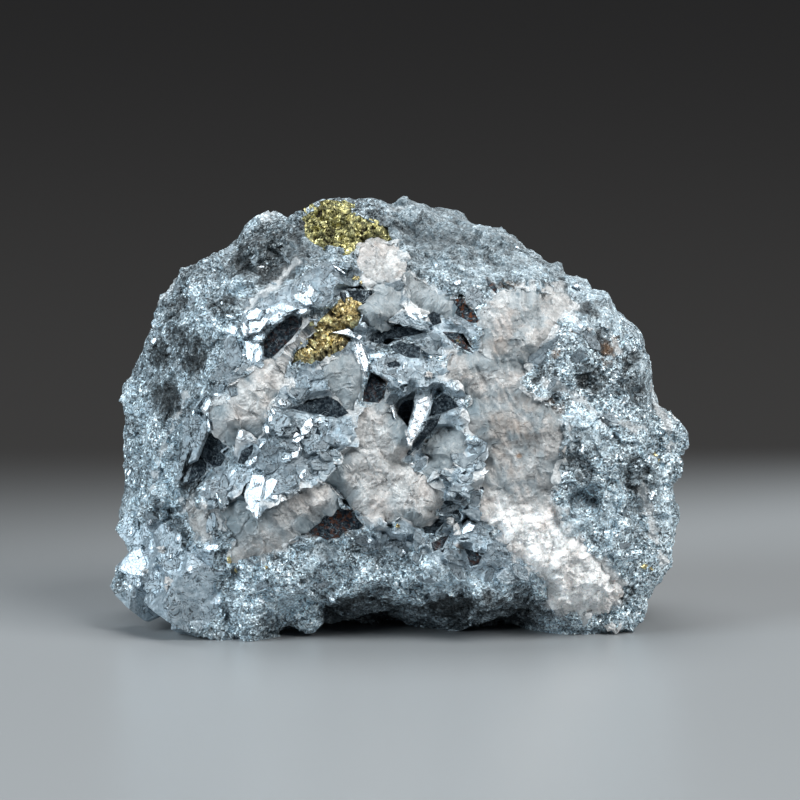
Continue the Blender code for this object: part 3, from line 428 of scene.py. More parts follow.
def refined(points, faces, tags, longest):
    """Halves every edge that is longer than its limit, until none is. New faces keep the old one's tag."""
    while True:
        edges, index = edges_of(faces, len(points))
        middle = points[edges].mean(axis=1)
        length = np.linalg.norm(points[edges[:, 0]] - points[edges[:, 1]], axis=1)
        flattest = np.full(len(edges), np.inf)
        np.minimum.at(flattest, index.reshape(-1), np.repeat(tags, 3))
        split = length > longest(middle, flattest)
        if not split.any():
            return points, faces, tags
        fresh = np.full(len(edges), -1)
        fresh[split] = len(points) + np.arange(split.sum())
        points = np.concatenate([points, middle[split]])
        cut = fresh[index]
        count = (cut >= 0).sum(axis=1)
        # Each face is turned so that its cut edges come first.
        turn = np.zeros(len(faces), int)
        turn[count == 1] = np.argmax(cut[count == 1] >= 0, axis=1)
        turn[count == 2] = (np.argmin(cut[count == 2] >= 0, axis=1) + 1) % 3
        pick = (np.arange(3)[None, :] + turn[:, None]) % 3
        corners = np.hstack([np.take_along_axis(ends, pick, axis=1) for ends in (faces, cut)])
        made, kept = [], []
        for number, shapes in enumerate(DIVISIONS):
            chosen = count == number
            for shape in shapes:
                made.append(corners[chosen][:, shape])
                kept.append(tags[chosen])
        faces, tags = np.concatenate(made), np.concatenate(kept)


def softened(points, faces, fixed, rounds):
    """Rounds off the coarse blocks, apart from the fixed points."""
    edges, _ = edges_of(faces, len(points))
    ends = np.concatenate([edges, edges[:, ::-1]])
    count = np.maximum(np.bincount(ends[:, 0], minlength=len(points)), 1)
    for _ in range(rounds):
        total = [np.bincount(ends[:, 0], points[ends[:, 1], axis], len(points)) for axis in range(3)]
        middle = np.stack(total, axis=1) / count[:, None]
        points = np.where(fixed[:, None], points, (points + middle) / 2.0)
    return points


def point_normals(points, faces):
    """The direction that the surface faces at each point."""
    cross = cross_of(points, faces)
    total = np.zeros_like(points)
    for k in range(3):
        np.add.at(total, faces[:, k], cross)
    return total / np.maximum(np.linalg.norm(total, axis=1, keepdims=True), 1e-9)


def add_object(name, data):
    made = bpy.data.objects.new(name, data)
    bpy.context.scene.collection.objects.link(made)
    return made


def add_piece(name, points, faces, materials, values, indices=None):
    """A piece of the specimen from points in millimetres. values are named numbers for each point."""
    points = np.column_stack([points[:, :2], np.maximum(points[:, 2], 0.0)])
    mesh = bpy.data.meshes.new(name)
    mesh.vertices.add(len(points))
    mesh.vertices.foreach_set("co", (points * MM).astype(np.float32).reshape(-1))
    mesh.loops.add(len(faces) * 3)
    mesh.loops.foreach_set("vertex_index", faces.astype(np.int32).reshape(-1))
    mesh.polygons.add(len(faces))
    mesh.polygons.foreach_set("loop_start", np.arange(0, len(faces) * 3, 3, dtype=np.int32))
    for material in materials:
        mesh.materials.append(material)
    if indices is not None:
        mesh.polygons.foreach_set("material_index", indices.astype(np.int32))
    for key, numbers in values.items():
        layer = mesh.attributes.new(key, "FLOAT", "POINT")
        layer.data.foreach_set("value", numbers.astype(np.float32))
    mesh.update(calc_edges=True)
    mesh.validate()
    mesh.shade_flat()
    made = add_object(name, mesh)
    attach(made, "root")
    return made


def part_of(points, faces, chosen, values):
    """The chosen faces with only the points that they use."""
    used, index = np.unique(faces[chosen], return_inverse=True)
    return points[used], index.reshape(-1, 3), {key: numbers[used] for key, numbers in values.items()}


# Shader groups. Each is built once and used by several materials.


def node(tree, kind, **settings):
    made = tree.nodes.new(kind)
    for key, value in settings.items():
        setattr(made, key, value)
    return made


def feed(tree, target, inputs):
    """Links each input to a socket, or sets it to a value. Inputs go by name or by number."""
    for key, value in inputs.items():
        if isinstance(value, (int, float, tuple)):
            target.inputs[key].default_value = value
        elif value is not None:
            tree.links.new(value, target.inputs[key])


def math_node(tree, operation, first, second=None, third=None):
    made = node(tree, "ShaderNodeMath", operation=operation)
    feed(tree, made, {0: first, 1: second, 2: third})
    return made.outputs[0]


def times(tree, first, second):
    return math_node(tree, "MULTIPLY", first, second)


def times_plus(tree, value, factor, base):
    return math_node(tree, "MULTIPLY_ADD", value, factor, base)


def vector_node(tree, operation, first, second=None, scale=None):
    made = node(tree, "ShaderNodeVectorMath", operation=operation)
    feed(tree, made, {0: first, 1: second, 3: scale})
    return made.outputs[0]


def cells_of(tree, size):
    """The place on the object, counted in cells of this size."""
    place = node(tree, "ShaderNodeTexCoord").outputs["Object"]
    return vector_node(tree, "SCALE", place, scale=math_node(tree, "DIVIDE", 1.0, size))


def noise_of(tree, size, detail, roughness, distortion=0.0):
    """Soft noise from 0 to 1 with lumps of this size."""
    texture = node(tree, "ShaderNodeTexNoise")
    feed(tree, texture, {"Vector": cells_of(tree, size), "Scale": 1.0, "Detail": detail})
    feed(tree, texture, {"Roughness": roughness, "Distortion": distortion})
    return texture.outputs["Fac"]


def smooth_ramp(tree, inputs):
    made = node(tree, "ShaderNodeMapRange", interpolation_type="SMOOTHSTEP")
    feed(tree, made, inputs)
    return made.outputs["Result"]


def new_group(name, numbers_in, sockets_out):
    """An empty shader group, with the sockets given to it and the node that its results go to."""
    group = bpy.data.node_groups.new(name, "ShaderNodeTree")
    for label, value in numbers_in.items():
        socket = group.interface.new_socket(label, in_out="INPUT", socket_type="NodeSocketFloat")
        socket.default_value = value
    for label, kind in sockets_out.items():
        group.interface.new_socket(label, in_out="OUTPUT", socket_type="NodeSocket" + kind)
    return group, node(group, "NodeGroupInput").outputs, node(group, "NodeGroupOutput")


def facet_group():
    """Small flat facets: each cell turns the normal its own way, and gives two random numbers."""
    outputs = {"Normal": "Vector", "Random": "Float", "Other": "Float"}
    group, given, out = new_group("facets", {"Size": 1.0 * MM, "Turn": 0.5}, outputs)
    cell = node(group, "ShaderNodeTexVoronoi", voronoi_dimensions="3D")
    feed(group, cell, {"Vector": cells_of(group, given["Size"]), "Scale": 1.0})
    centred = vector_node(group, "SUBTRACT", cell.outputs["Color"], (0.5, 0.5, 0.5))
    turned_by = vector_node(group, "SCALE", centred, scale=given["Turn"])
    added = vector_node(group, "ADD", node(group, "ShaderNodeNewGeometry").outputs["Normal"], turned_by)
    split = node(group, "ShaderNodeSeparateColor")
    feed(group, split, {0: cell.outputs["Color"]})
    normal = vector_node(group, "NORMALIZE", added)
    feed(group, out, {"Normal": normal, "Random": split.outputs[0], "Other": split.outputs[1]})
    return group


def blotch_group():
    """Soft uneven patches from 0 to 1."""
    inputs = {"Size": 4.0 * MM, "Low": 0.4, "High": 0.6}
    group, given, out = new_group("blotches", inputs, {"Mask": "Float"})
    noise = noise_of(group, given["Size"], 4.0, 0.6)
    mask = smooth_ramp(group, {"Value": noise, "From Min": given["Low"], "From Max": given["High"]})
    feed(group, out, {"Mask": mask})
    return group


def crack_group():
    """Thin wavy lines, 1 on a line and 0 beside it."""
    inputs = {"Size": 2.0 * MM, "Width": 0.1, "Lines": 4.0}
    group, given, out = new_group("cracks", inputs, {"Mask": "Float"})
    noise = noise_of(group, given["Size"], 3.0, 0.55, 0.6)
    folded = math_node(group, "PINGPONG", times(group, noise, given["Lines"]), 0.5)
    mask = smooth_ramp(group, {"Value": folded, "From Max": given["Width"], "To Min": 1.0, "To Max": 0.0})
    feed(group, out, {"Mask": mask})
    return group


FACETS = facet_group()
BLOTCHES = blotch_group()
CRACKS = crack_group()


def use_group(tree, group, **values):
    made = node(tree, "ShaderNodeGroup", node_tree=group)
    feed(tree, made, {key.capitalize(): value for key, value in values.items()})
    return made.outputs


def facets(tree, size, turn):
    """The outputs of facets of this size in millimetres, each turned by this much at most."""
    return use_group(tree, FACETS, size=size * MM, turn=turn)


def blotches(tree, size, low, high):
    """Patches of this size in millimetres. They start at the low noise value and are full at the high one."""
    return use_group(tree, BLOTCHES, size=size * MM, low=low, high=high)["Mask"]


def cracks(tree, size, width, lines):
    """Lines that wind round lumps of this size in millimetres."""
    return use_group(tree, CRACKS, size=size * MM, width=width, lines=lines)["Mask"]


def mixed(tree, share, first, second, blend="MIX"):
    """A mix of two colours. share is a socket or a number."""
    made = node(tree, "ShaderNodeMix", data_type="RGBA", blend_type=blend)
    first, second = ((*value, 1.0) if isinstance(value, tuple) else value for value in (first, second))
    feed(tree, made, {0: share, 6: first, 7: second})
    return made.outputs[2]


def new_material(name):
    material = bpy.data.materials.new(name)
    material.use_nodes = True
    tree = material.node_tree
    return material, tree, tree.nodes["Principled BSDF"]


def attribute(tree, name):
    return node(tree, "ShaderNodeAttribute", attribute_name=name).outputs["Fac"]


def ore_colour(tree, colour, tone, scratched):
    """The metal's colour, toned by the shade attribute with its painted light and shade, under its stains,
    its black broken crystals, partly painted shade, and the white mineral in it.
    """
    toned = mixed(tree, 1.0, colour, times(tree, tone, attribute(tree, "shade")), "MULTIPLY")
    rust = attribute(tree, "rust")
    scratches = math_node(tree, "MAXIMUM", cracks(tree, 2.4, 0.04, 5.0), times(tree, scratched, 0.12))
    black = mixed(tree, blotches(tree, 0.5, 0.47, 0.66), *BLACKS_AND_SHADE)
    black = mixed(tree, times(tree, scratches, 0.7), black, SCRATCH_GREY)
    black = mixed(tree, times(tree, blotches(tree, 0.7, 0.5, 0.6), rust), black, RUST_SPECKS)
    stained = mixed(tree, times(tree, rust, 0.6), toned, ORE_STAIN)
    colour = mixed(tree, attribute(tree, "dark"), stained, black)
    return mixed(tree, attribute(tree, "lime"), colour, LIME_WHITE)


def ore_grain_material():
    """Broken, sugary ore: chalky grey-blue with dark pits painted in as shade between the grains, and small
    facets that sparkle.
    """
    material, tree, shader = new_material("ore_grained")
    fine = facets(tree, 0.26, 0.85)
    lines = cracks(tree, 2.6, 0.12, 5.0)
    matte = attribute(tree, "matte")
    calm = times_plus(tree, matte, -0.4, 1.0)
    tone = times_plus(tree, times_plus(tree, fine["Random"], 1.6, -0.78), calm, 0.95)
    # Painted shade in the pits between the grains, and dark cracks, less where the ore is worn smooth.
    sunk = times(tree, math_node(tree, "MAXIMUM", blotches(tree, 0.7, 0.5, 0.6), lines), calm)
    tone = times(tree, tone, times_plus(tree, sunk, -0.55, 1.0))
    tone = times(tree, tone, times_plus(tree, blotches(tree, 5.0, 0.45, 0.55), 0.35, 0.85))
    colour = mixed(tree, facets(tree, 0.6, 0.5)["Random"], *GRAIN_GREYS)
    bare = math_node(tree, "SUBTRACT", 1.0, attribute(tree, "lime"))
    feed(tree, shader, {
        "Base Color": ore_colour(tree, colour, tone, lines),
        "Normal": fine["Normal"],
        "Roughness": times_plus(tree, matte, 0.3, times_plus(tree, fine["Other"], 0.4, 0.28)),
        "Metallic": times(tree, times_plus(tree, matte, -0.35, 0.5), bare),
    })
    return material


def ore_face_material(name, greys, metallic, roughness, lined, lines):
    """Flat crystal faces: metal crossed by fine wavy growth lines. lined is how dark the lines are."""
    material, tree, shader = new_material(name)
    growth = cracks(tree, 2.4, 0.17, lines)
    cloud = blotches(tree, 0.9, 0.35, 0.65)
    drawn = times(tree, growth, blotches(tree, 3.4, 0.38, 0.5))
    grain = times_plus(tree, facets(tree, 0.35, 0.1)["Random"], 0.24, 0.88)
    tone = times(tree, times_plus(tree, drawn, -lined, 1.05), grain)
    bump = node(tree, "ShaderNodeBump")
    height = math_node(tree, "SUBTRACT", cloud, drawn)
    feed(tree, bump, {"Strength": 0.45, "Distance": 0.14 * MM, "Height": height})
    feed(tree, shader, {
        "Base Color": ore_colour(tree, mixed(tree, cloud, *greys), tone, growth),
        "Roughness": times_plus(tree, cloud, 0.16, roughness),
        "Metallic": metallic,
        "Specular IOR Level": times_plus(tree, attribute(tree, "dark"), -0.38, 0.5),
        "Normal": bump.outputs["Normal"],
    })
    return material


def calcite_material():
    """Cleaved calcite: warm white, clouded with grey where the ore shows through, and flecked with ore."""
    material, tree, shader = new_material("calcite_cleaved")
    cell = facets(tree, 0.32, 0.28)
    white = mixed(tree, blotches(tree, 2.4, 0.4, 0.62), *CALCITE_WHITES)
    white = mixed(tree, times(tree, blotches(tree, 6.0, 0.48, 0.62), 0.5), white, CALCITE_PINK)
    tone = times(tree, times_plus(tree, cell["Random"], 0.4, 0.8), attribute(tree, "shade"))
    white = mixed(tree, 1.0, white, tone, "MULTIPLY")
    cloudy = mixed(tree, attribute(tree, "grey"), white, CALCITE_GREY)
    sunk = math_node(tree, "MAXIMUM", cracks(tree, 3.4, 0.025, 3.0), blotches(tree, 0.45, 0.6, 0.68))
    cloudy = mixed(tree, times(tree, sunk, 0.4), cloudy, CALCITE_PITS)
    stained = mixed(tree, attribute(tree, "rust"), cloudy, CALCITE_STAIN)
    feed(tree, shader, {
        "Base Color": mixed(tree, attribute(tree, "fleck"), stained, CALCITE_FLECKS),
        "Normal": cell["Normal"],
        "Roughness": times_plus(tree, cell["Other"], 0.35, 0.3),
        "Subsurface Weight": CALCITE_GLOW,
        "Subsurface Radius": (1.0, 0.8, 0.7),
        "Subsurface Scale": 1.0 * MM,
    })
    return material


def brass_material(name, dull, bright):
    """Chalcopyrite: brassy grains between dark greenish ones."""
    material, tree, shader = new_material(name)
    cell = facets(tree, 0.4, 1.1)
    colour = mixed(tree, blotches(tree, 1.2, 0.4, 0.58), dull, bright)
    colour = mixed(tree, 1.0, colour, times_plus(tree, cell["Random"], 1.0, 0.45), "MULTIPLY")
    # Cracks and the low parts of the relief are dark.
    sunk = math_node(tree, "MAXIMUM", cracks(tree, 1.8, 0.09, 5.0), attribute(tree, "rust"))
    feed(tree, shader, {
        "Base Color": mixed(tree, sunk, colour, BRASS_PITS),
        "Normal": cell["Normal"],
        "Roughness": times_plus(tree, cell["Other"], 0.35, 0.25),
        "Metallic": 0.7,
    })
    return material


def rim_of(source):
    """The outline of a seated mineral on the view plane, as pairs of end points, read off its flat back."""
    points, faces = mesh_arrays(source)
    x, w, depth = on_plane(points)
    back = faces[(depth[faces] > depth.max() - 0.05).all(axis=1)]
    edges, index = edges_of(back, len(points))
    rim = edges[np.bincount(index.reshape(-1), minlength=len(edges)) == 1]
    flat = np.stack([x, w], axis=1)
    return flat[rim]


def gap_to(x, w, rim):
    """How far each place lies inside an outline, in millimetres, or outside it, as a number below 0."""
    place = np.stack([x, w], axis=1)
    nearest = np.full(len(place), np.inf)
    crossings = np.zeros(len(place), int)
    for (ax, aw), (bx, bw) in rim:
        along = np.array((bx - ax, bw - aw))
        share = np.clip(((place - (ax, aw)) @ along) / (along @ along), 0.0, 1.0)
        nearest = np.minimum(nearest, np.linalg.norm(place - (ax, aw) - share[:, None] * along, axis=1))
        if aw != bw:
            crossings += ((aw > w) != (bw > w)) & (x < ax + (w - aw) * (bx - ax) / (bw - aw))
    return np.where(crossings % 2 == 1, nearest, -nearest)


def in_box(x, w, corners, reach):
    """Which places lie in the box round some corners, or no further than this outside it."""
    low, high = corners.min(axis=0) - reach, corners.max(axis=0) + reach
    return (x > low[0]) & (x < high[0]) & (w > low[1]) & (w < high[1])


def closed_line(outline):
    """The sides of an outline, as pairs of corners."""
    return list(zip(outline, outline[1:] + outline[:1]))


def step_up(value, low, high):
    """0 below low, 1 above high, and smooth between them."""
    share = np.clip((value - low) / (high - low), 0.0, 1.0)
    return share * share * (3.0 - 2.0 * share)


def around(x, w, spots):
    """1 in the middle of each spot, given as (x, w, half-width, half-height), fading to 0 past its edge."""
    total = np.zeros(len(x))
    for x0, w0, wide, high in spots:
        total = np.maximum(total, 1.0 - step_up(np.hypot((x - x0) / wide, (w - w0) / high), 0.6, 1.3))
    return total


def stretched(points, turn, sizes, bend, bend_size, seed):
    """Each place in cells that are stretched along a direction on the view plane, and bent a little."""
    x, w, depth = on_plane(points)
    along, across = turned(x, w, turn)
    place = np.stack([along / sizes[0], across / sizes[1], depth / sizes[2]], axis=1)
    return place + bend * np.stack([soft_noise(points, bend_size, seed + k) for k in (1, 2, 3)], axis=1)


def strata(points, turn, seed):
    """Long ridges from -1 to 1 that run across the view plane at this angle."""
    place = stretched(points, turn, (5.0, 1.4, 3.0), 0.5, 4.0, seed)
    wave = soft_noise(place, 1.0, seed) + 0.5 * soft_noise(place * 2.1, 1.0, seed + 9)
    return 1.0 - 2.2 * np.abs(wave)


def tufts(points, turn, seed):
    """Fine fibres, from -1 to 1, that run up the view plane at this angle."""
    return soft_noise(stretched(points, turn, (2.2, 0.5, 1.2), 0.7, 2.2, seed), 1.0, seed)


def ridges(points):
    """Steep ridges on the left flank, and slanting ones on the rest."""
    left = 1.0 - step_up(points[:, 0], -30.0, -20.0)
    low = 1.0 - step_up(points[:, 2], 8.0, 18.0)
    flank = strata(points, 74.0, 70)
    slanting = strata(points, -33.0, 80)
    level = strata(points, 14.0, 90)
    rest = slanting * (1.0 - low) + level * low
    return flank * left + rest * (1.0 - left)


def calm_share(points):
    """1 where the ore is worn smooth and chalky, 0 where it is rough, as most of the left flank is."""
    worn = step_up(soft_noise(points, 6.5, 51) + 0.5 * soft_noise(points, 2.6, 52), 0.15, 0.55)
    return worn * (0.3 + 0.7 * step_up(points[:, 0], -30.0, -14.0))


def veil_share(x, w, wander, fine):
    """How much of the ore is hidden by a pale veil at each place."""
    total = np.zeros(len(x))
    for width, line in VEILS:
        pairs = list(zip(line, line[1:]))
        off = np.abs(gap_to(x, w, pairs)) + 0.7 * wander + 0.6 * fine
        total = np.maximum(total, 0.75 * (1.0 - step_up(off, 0.2 * width, width)))
    return total


def black_and_shade_share(x, w, behind, wander, rust):
    """How much of the ore is a black broken crystal at each place; in the hollows the black is partly painted
    shade. It also sets their shares of rust.
    """
    dark = np.zeros(len(x))
    for share, outline in SHADED_BLACK_FACES.values():
        near, gap = gap_near(x, w, outline, 1.5)
        near &= ~behind
        inside = step_up(gap[near] + 0.3 * wander[near], -0.1, 0.4)
        dark[near] = np.maximum(dark[near], inside)
        rust[near] = np.maximum(rust[near] * (1.0 - inside), share * inside)
    return dark


def lime_share(points, x, w, wander, fine, front, rims):
    """How much of the ore is white: along the calcite, in the veils, and in thin veins across the back."""
    lime = np.zeros(len(x))
    for rim in rims:
        near = in_box(x, w, rim.reshape(-1, 2), 3.0) & (points[:, 1] < SEAM_ZONE)
        gap = gap_to(x[near], w[near], rim) + 1.3 * wander[near] + 1.1 * fine[near]
        lime[near] = np.maximum(lime[near], step_up(gap, -1.4, -0.3))
    lime = np.maximum(lime, veil_share(x, w, wander, fine) * front)
    line = np.abs(soft_noise(points, 15.0, 61) + 0.25 * soft_noise(points, 4.0, 62) + 0.05 * fine)
    line = (1.0 - step_up(line, 0.02, 0.09)) * step_up(soft_noise(points, 9.0, 63), -0.3, 0.3)
    return np.maximum(lime, 0.8 * line * (1.0 - front))


def ore_values(points, height, rims):
    """The tone, which holds painted light and shade, the stain and the share of white mineral at each point
    of the ore.
    """
    x, w, _ = on_plane(points)
    front = 1.0 - step_up(points[:, 1], -6.0, 8.0)
    wander = soft_noise(points, 2.0, 21)
    fine = soft_noise(points, 0.9, 22)
    lump = grains(points, 2.6, 10)[1][:, 1]
    shade = 1.0 + 0.22 * soft_noise(points, 6.0, 25) + 0.12 * wander + 0.14 * lump
    # Painted shade: the gaps between the grains are painted darker and raised grains paler, by their height,
    # also in the dark hollows.
    shade *= 1.0 + 0.42 * np.clip(height / 0.6, -1.0, 0.8)
    raised = step_up(height + 0.2 * fine, -0.15, 0.25)
    # Painted shade in the darker spots, weaker on raised grains.
    shade *= 1.0 - around(x + 1.3 * wander, w + 1.3 * fine, DARKER_AND_SHADED) * front * (0.95 - 0.35 * raised)
    shade *= 1.0 + 0.2 * around(x + wander, w + fine, PALER) * front
    # Painted light and shade: the top right is dull and painted darker; the right, both flanks and the foot
    # are painted paler, and the top is painted darker.
    crown = step_up(w + 0.12 * x, 54.0, 60.0) * step_up(x, -6.0, 2.0)
    matte = np.maximum(crown, calm_share(points))
    shade *= 1.0 + 0.12 * matte - 0.3 * crown
    flank_painted_light = 0.14 * step_up(np.abs(x), 22.0, 34.0)
    shade *= 1.16 + 0.28 * step_up(x - 0.4 * w, -34.0, 4.0) + flank_painted_light
    shade *= 1.0 + 0.12 * (1.0 - step_up(w, 6.0, 14.0)) * front - 0.3 * step_up(w, 50.0, 60.0)
    rust = around(x + 0.5 * wander, w + 0.5 * fine, RUSTY) * front * step_up(fine, -0.5, 0.4)
    dark = black_and_shade_share(x, w, points[:, 1] >= 2.0, wander, rust)
    lime = lime_share(points, x, w, wander, fine, front, rims)
    return {"shade": np.clip(shade, 0.2, 1.7), "rust": rust, "lime": lime, "matte": matte, "dark": dark}


def nearest_seam(x, w, rims):
    """How far each place lies from the nearest edge between two minerals."""
    nearest = np.full(len(x), np.inf)
    for rim in rims:
        near = in_box(x, w, rim.reshape(-1, 2), 5.0)
        nearest[near] = np.minimum(nearest[near], np.abs(gap_to(x[near], w[near], rim)))
    return nearest


def wandering_seams(points, rims):
    """Shifts points near a seam sideways, the same on both its sides, so that its outline is uneven."""
    x, w, _ = on_plane(points)
    place = np.stack([x, w, np.zeros(len(x))], axis=1)
    near = (1.0 - step_up(nearest_seam(x, w, rims), 2.0, 4.5)) * (points[:, 1] < SEAM_ZONE)
    across, up = (
        near * (0.4 * soft_noise(place, 2.6, seed) + 0.45 * soft_noise(place, 0.9, seed + 1))
        for seed in (41, 43)
    )
    return points + across[:, None] * RIGHT + up[:, None] * UP


def ore_relief(points):
    """Height of the ridges and grains above the coarse rock, in millimetres."""
    rough = 1.0 - 0.75 * calm_share(points)
    height = soft_noise(points, 5.0, 2) * 0.2 + ridges(points) * 0.24
    for size, share, seed in ((5.5, 0.12, 9), (2.6, 0.12, 10), (1.2, 0.17, 11), (0.6, 0.34, 12)):
        tilt, own = tilted_grains(points, size, seed)
        height += (tilt * share + own[:, 0] * 0.08 * size) * (rough if size < 2.0 else 1.0)
    return height


def chip(x, w, length, width, turn, draw):
    """The outline of a small crystal face: five to seven corners round a narrow shape."""
    count = draw.randint(5, 7)
    outline = []
    for k in range(count):
        angle = math.tau * (k + draw.uniform(-0.28, 0.28)) / count
        reach = draw.uniform(0.8, 1.1) / 2.0
        along, across = turned(math.cos(angle) * length * reach, math.sin(angle) * width * reach, -turn)
        outline.append((x + along, w + across))
    return outline


def crystal_faces():
    """Every single face that has a place of its own, as (kind, share of rust, outline)."""
    draw = random.Random(CHIP_SEED)
    found = [("dark", rust, outline) for rust, outline in SHADED_BLACK_FACES.values()]
    found += [("slate", 0.0, outline) for outline in SLATE_FACES.values()]
    found += [("silky", 0.0, outline) for outline in SILKY_FACES.values()]
    found += [("mirror", 0.0, outline) for outline in MIRROR_FACES.values()]
    found += [("mirror", 0.0, chip(*row, draw)) for row in MIRROR_CHIPS]
    found += [("silky", 0.0, chip(*row, draw)) for row in SILKY_CHIPS]
    return found


def scattered_faces(rims):
    """Random small faces on the ore, as (kind, share of rust, outline).

    They leave the seated minerals, the dark faces and the large mirrors free.
    """
    draw = random.Random(CHIP_SEED + 1)
    taken = [outline for _, outline in SHADED_BLACK_FACES.values()] + list(MIRROR_FACES.values())
    found = []
    for (count, longest), zone in ((BROKEN_SCATTER, closed_line(BROKEN_FACE)), (FRONT_SCATTER, None)):
        made = 0
        while made < count:
            x, w = (draw.uniform(*span) for span in FRONT_SPAN)
            place = np.array([x]), np.array([w])
            if zone and gap_to(*place, zone)[0] < 0.0 or any(gap_to(*place, rim)[0] > -1.0 for rim in rims):
                continue
            length = draw.uniform(0.4, 1.0) * longest
            if any(gap_near(*place, outline, 0.5 * length)[1][0] > -0.4 * length for outline in taken):
                continue
            slant = 74.0 if x < -28.0 else draw.choice((-33.0, 14.0, 60.0))
            width = length * draw.uniform(0.25, 0.7)
            outline = chip(x, w, length, width, slant + draw.uniform(-25, 25), draw)
            shares = (1, 7, 2, 2) if zone else (2, 5, 1, 0)
            found.append((draw.choices(("mirror", "silky", "slate", "dark"), shares)[0], 0.0, outline))
            made += 1
    return found


def unit(vector):
    return vector / np.linalg.norm(vector)


def mirror_directions():
    """The directions a face has to point in to show one of the lamps in the photograph's view."""
    lamps = (unit(np.array(place) - np.array(LAMP_AIM)) for place in (KEY_PLACE, FILL_PLACE, TOP_PLACE))
    return [unit(lamp - AWAY) for lamp in lamps]


def face_plane(tree, outline, kind, facing):
    """The middle of a crystal face, and the direction that it points in, or nothing where no rock is."""
    share = KIND_TURN[kind]
    hits = [hit_from_view(tree, x, w) for x, w in outline + [tuple(np.mean(outline, axis=0))]]
    hits = [hit for hit in hits if hit]
    if not hits:
        return None
    depth = np.median([on_plane(place[None])[2][0] for place, _ in hits])
    slope = np.mean([normal for _, normal in hits], axis=0)
    if slope @ AWAY > -facing:
        return None
    slope = unit(slope - FACE_LEAN * AWAY)
    wanted = max(mirror_directions(), key=lambda direction: direction @ slope)
    x, w = np.mean(outline, axis=0)
    return in_space(x, w, depth - KIND_PROUD[kind]), unit(share * wanted + (1.0 - share) * slope)


def depth_on(middle, normal, x, w):
    """The depth of a face's plane at places on the view plane."""
    x0, w0, depth = (value[0] for value in on_plane(middle[None]))
    return depth - ((x - x0) * (normal @ RIGHT) + (w - w0) * (normal @ UP)) / (normal @ AWAY)


def gap_near(x, w, outline, reach):
    """Which places are near an outline, and how far inside it they lie."""
    near = in_box(x, w, np.array(outline), reach)
    gap = np.full(len(x), -np.inf)
    gap[near] = gap_to(x[near], w[near], closed_line(outline))
    return near, gap


def seat_faces(points, planes):
    """Raises or cuts the rock so that each crystal face lies on it."""
    x, w, depth = on_plane(points)
    for outline, middle, direction in planes:
        near, gap = gap_near(x, w, outline, FACE_CLEAR)
        chosen = near & (points[:, 1] < 0.0)
        wanted = depth_on(middle, direction, x[chosen], w[chosen]) + FACE_GAP
        shift = wanted - depth[chosen]
        close = np.abs(shift) < FACE_LIFT * 2.0
        shift = np.where(close, np.clip(shift, -FACE_LIFT, FACE_LIFT), 0.0)
        cut = step_up(gap[chosen], -FACE_CLEAR, -FACE_MARGIN)
        shift *= np.where(shift > 0.0, cut, gap[chosen] > -FACE_MARGIN)
        points[chosen] += shift[:, None] * AWAY
        depth[chosen] += shift
    return points


def add_crystal_faces(seats, materials):
    """The flat faces themselves, as thin bevelled plates on the rock."""
    draw = random.Random(CHIP_SEED + 2)
    points, faces, kinds = [], [], []
    values = {"shade": [], "rust": [], "dark": []}
    for kind, rust, outline, middle, direction in seats:
        corners = np.array(outline)
        centre = corners.mean(axis=0)
        reach = np.linalg.norm(corners - centre, axis=1, keepdims=True)
        inner = centre + (corners - centre) * np.maximum(1.0 - FACE_BEVEL / reach, 0.6)
        first, count = len(points), len(corners)
        before = len(faces)
        # Three rings of corners: round the top, under its bevel, and at the back.
        for ring, sunk in ((inner, 0.0), (corners, FACE_BEVEL), (corners, FACE_THICK)):
            depth = depth_on(middle, direction, ring[:, 0], ring[:, 1])
            points.extend(in_space(x, w, d) - direction * sunk for (x, w), d in zip(ring, depth))
        for one, two, three in tessellate_polygon([[Vector((x, w, 0.0)) for x, w in outline]]):
            faces += [(first + one, first + two, first + three)]
            faces += [tuple(first + 2 * count + k for k in (three, two, one))]
        for k in range(count):
            after = (k + 1) % count
            for low in (first, first + count):
                under = low + count
                faces += [(low + k, under + k, under + after), (low + k, under + after, low + after)]
        kinds += [int(kind != "mirror")] * (len(faces) - before)
        shade = KIND_SHADE[kind] * draw.uniform(0.75, 1.15)
        for key, value in (("shade", shade), ("rust", rust), ("dark", float(kind == "dark"))):
            values[key] += [value] * (len(points) - first)
    points, faces = np.array(points), np.array(faces)
    values = {key: np.array(numbers) for key, numbers in values.items()}
    add_piece("ore_crystal_faces", points, faces, materials, values, np.array(kinds))


def smooth_areas(points, faces):
    """The area of the flat face that each face in the broken middle is part of, and 0 for the rest."""
    middle = points[faces].mean(axis=1)
    x, w, _ = on_plane(middle)
    gap = np.maximum(*(gap_to(x, w, closed_line(zone)) for zone in (BROKEN_FACE, CORNER_CRYSTALS)))
    return np.where((gap > 0.0) & (middle[:, 1] < -2.0), flat_groups(points, faces), 0.0)


def longest_in_ore(middle, flattest):
    """The longest edge that the ore's mesh has at each place."""
    limit = np.where(middle[:, 1] < 0.0, FRONT_EDGE, BACK_EDGE)
    limit = np.where(middle[:, 2] < GROUND / 2, BACK_EDGE * 2, limit)
    return np.where(flattest > FLAT_AREA, np.maximum(limit, FLAT_EDGE), limit)


def rounded_blocks(points, faces, rims):
    """The ore's fine mesh. Its coarse blocks are rounded off, but not flat faces, seams or the base."""
    area = smooth_areas(points, faces)
    points, faces, area = refined(points, faces, area, lambda middle, _: np.full(len(middle), SOFT_EDGE))
    x, w, _ = on_plane(points)
    broken = (gap_to(x, w, closed_line(BROKEN_FACE)) > 0.0) & (points[:, 1] < 0.0)
    fixed = (points[:, 2] < GROUND) | broken
    fixed[faces[area > FLAT_AREA].reshape(-1)] = True
    for rim in rims:
        fixed |= (np.abs(gap_to(x, w, rim)) < SOFT_EDGE) & (points[:, 1] < SEAM_ZONE)
    return refined(softened(points, faces, fixed, SOFT_ROUNDS), faces, area, longest_in_ore)


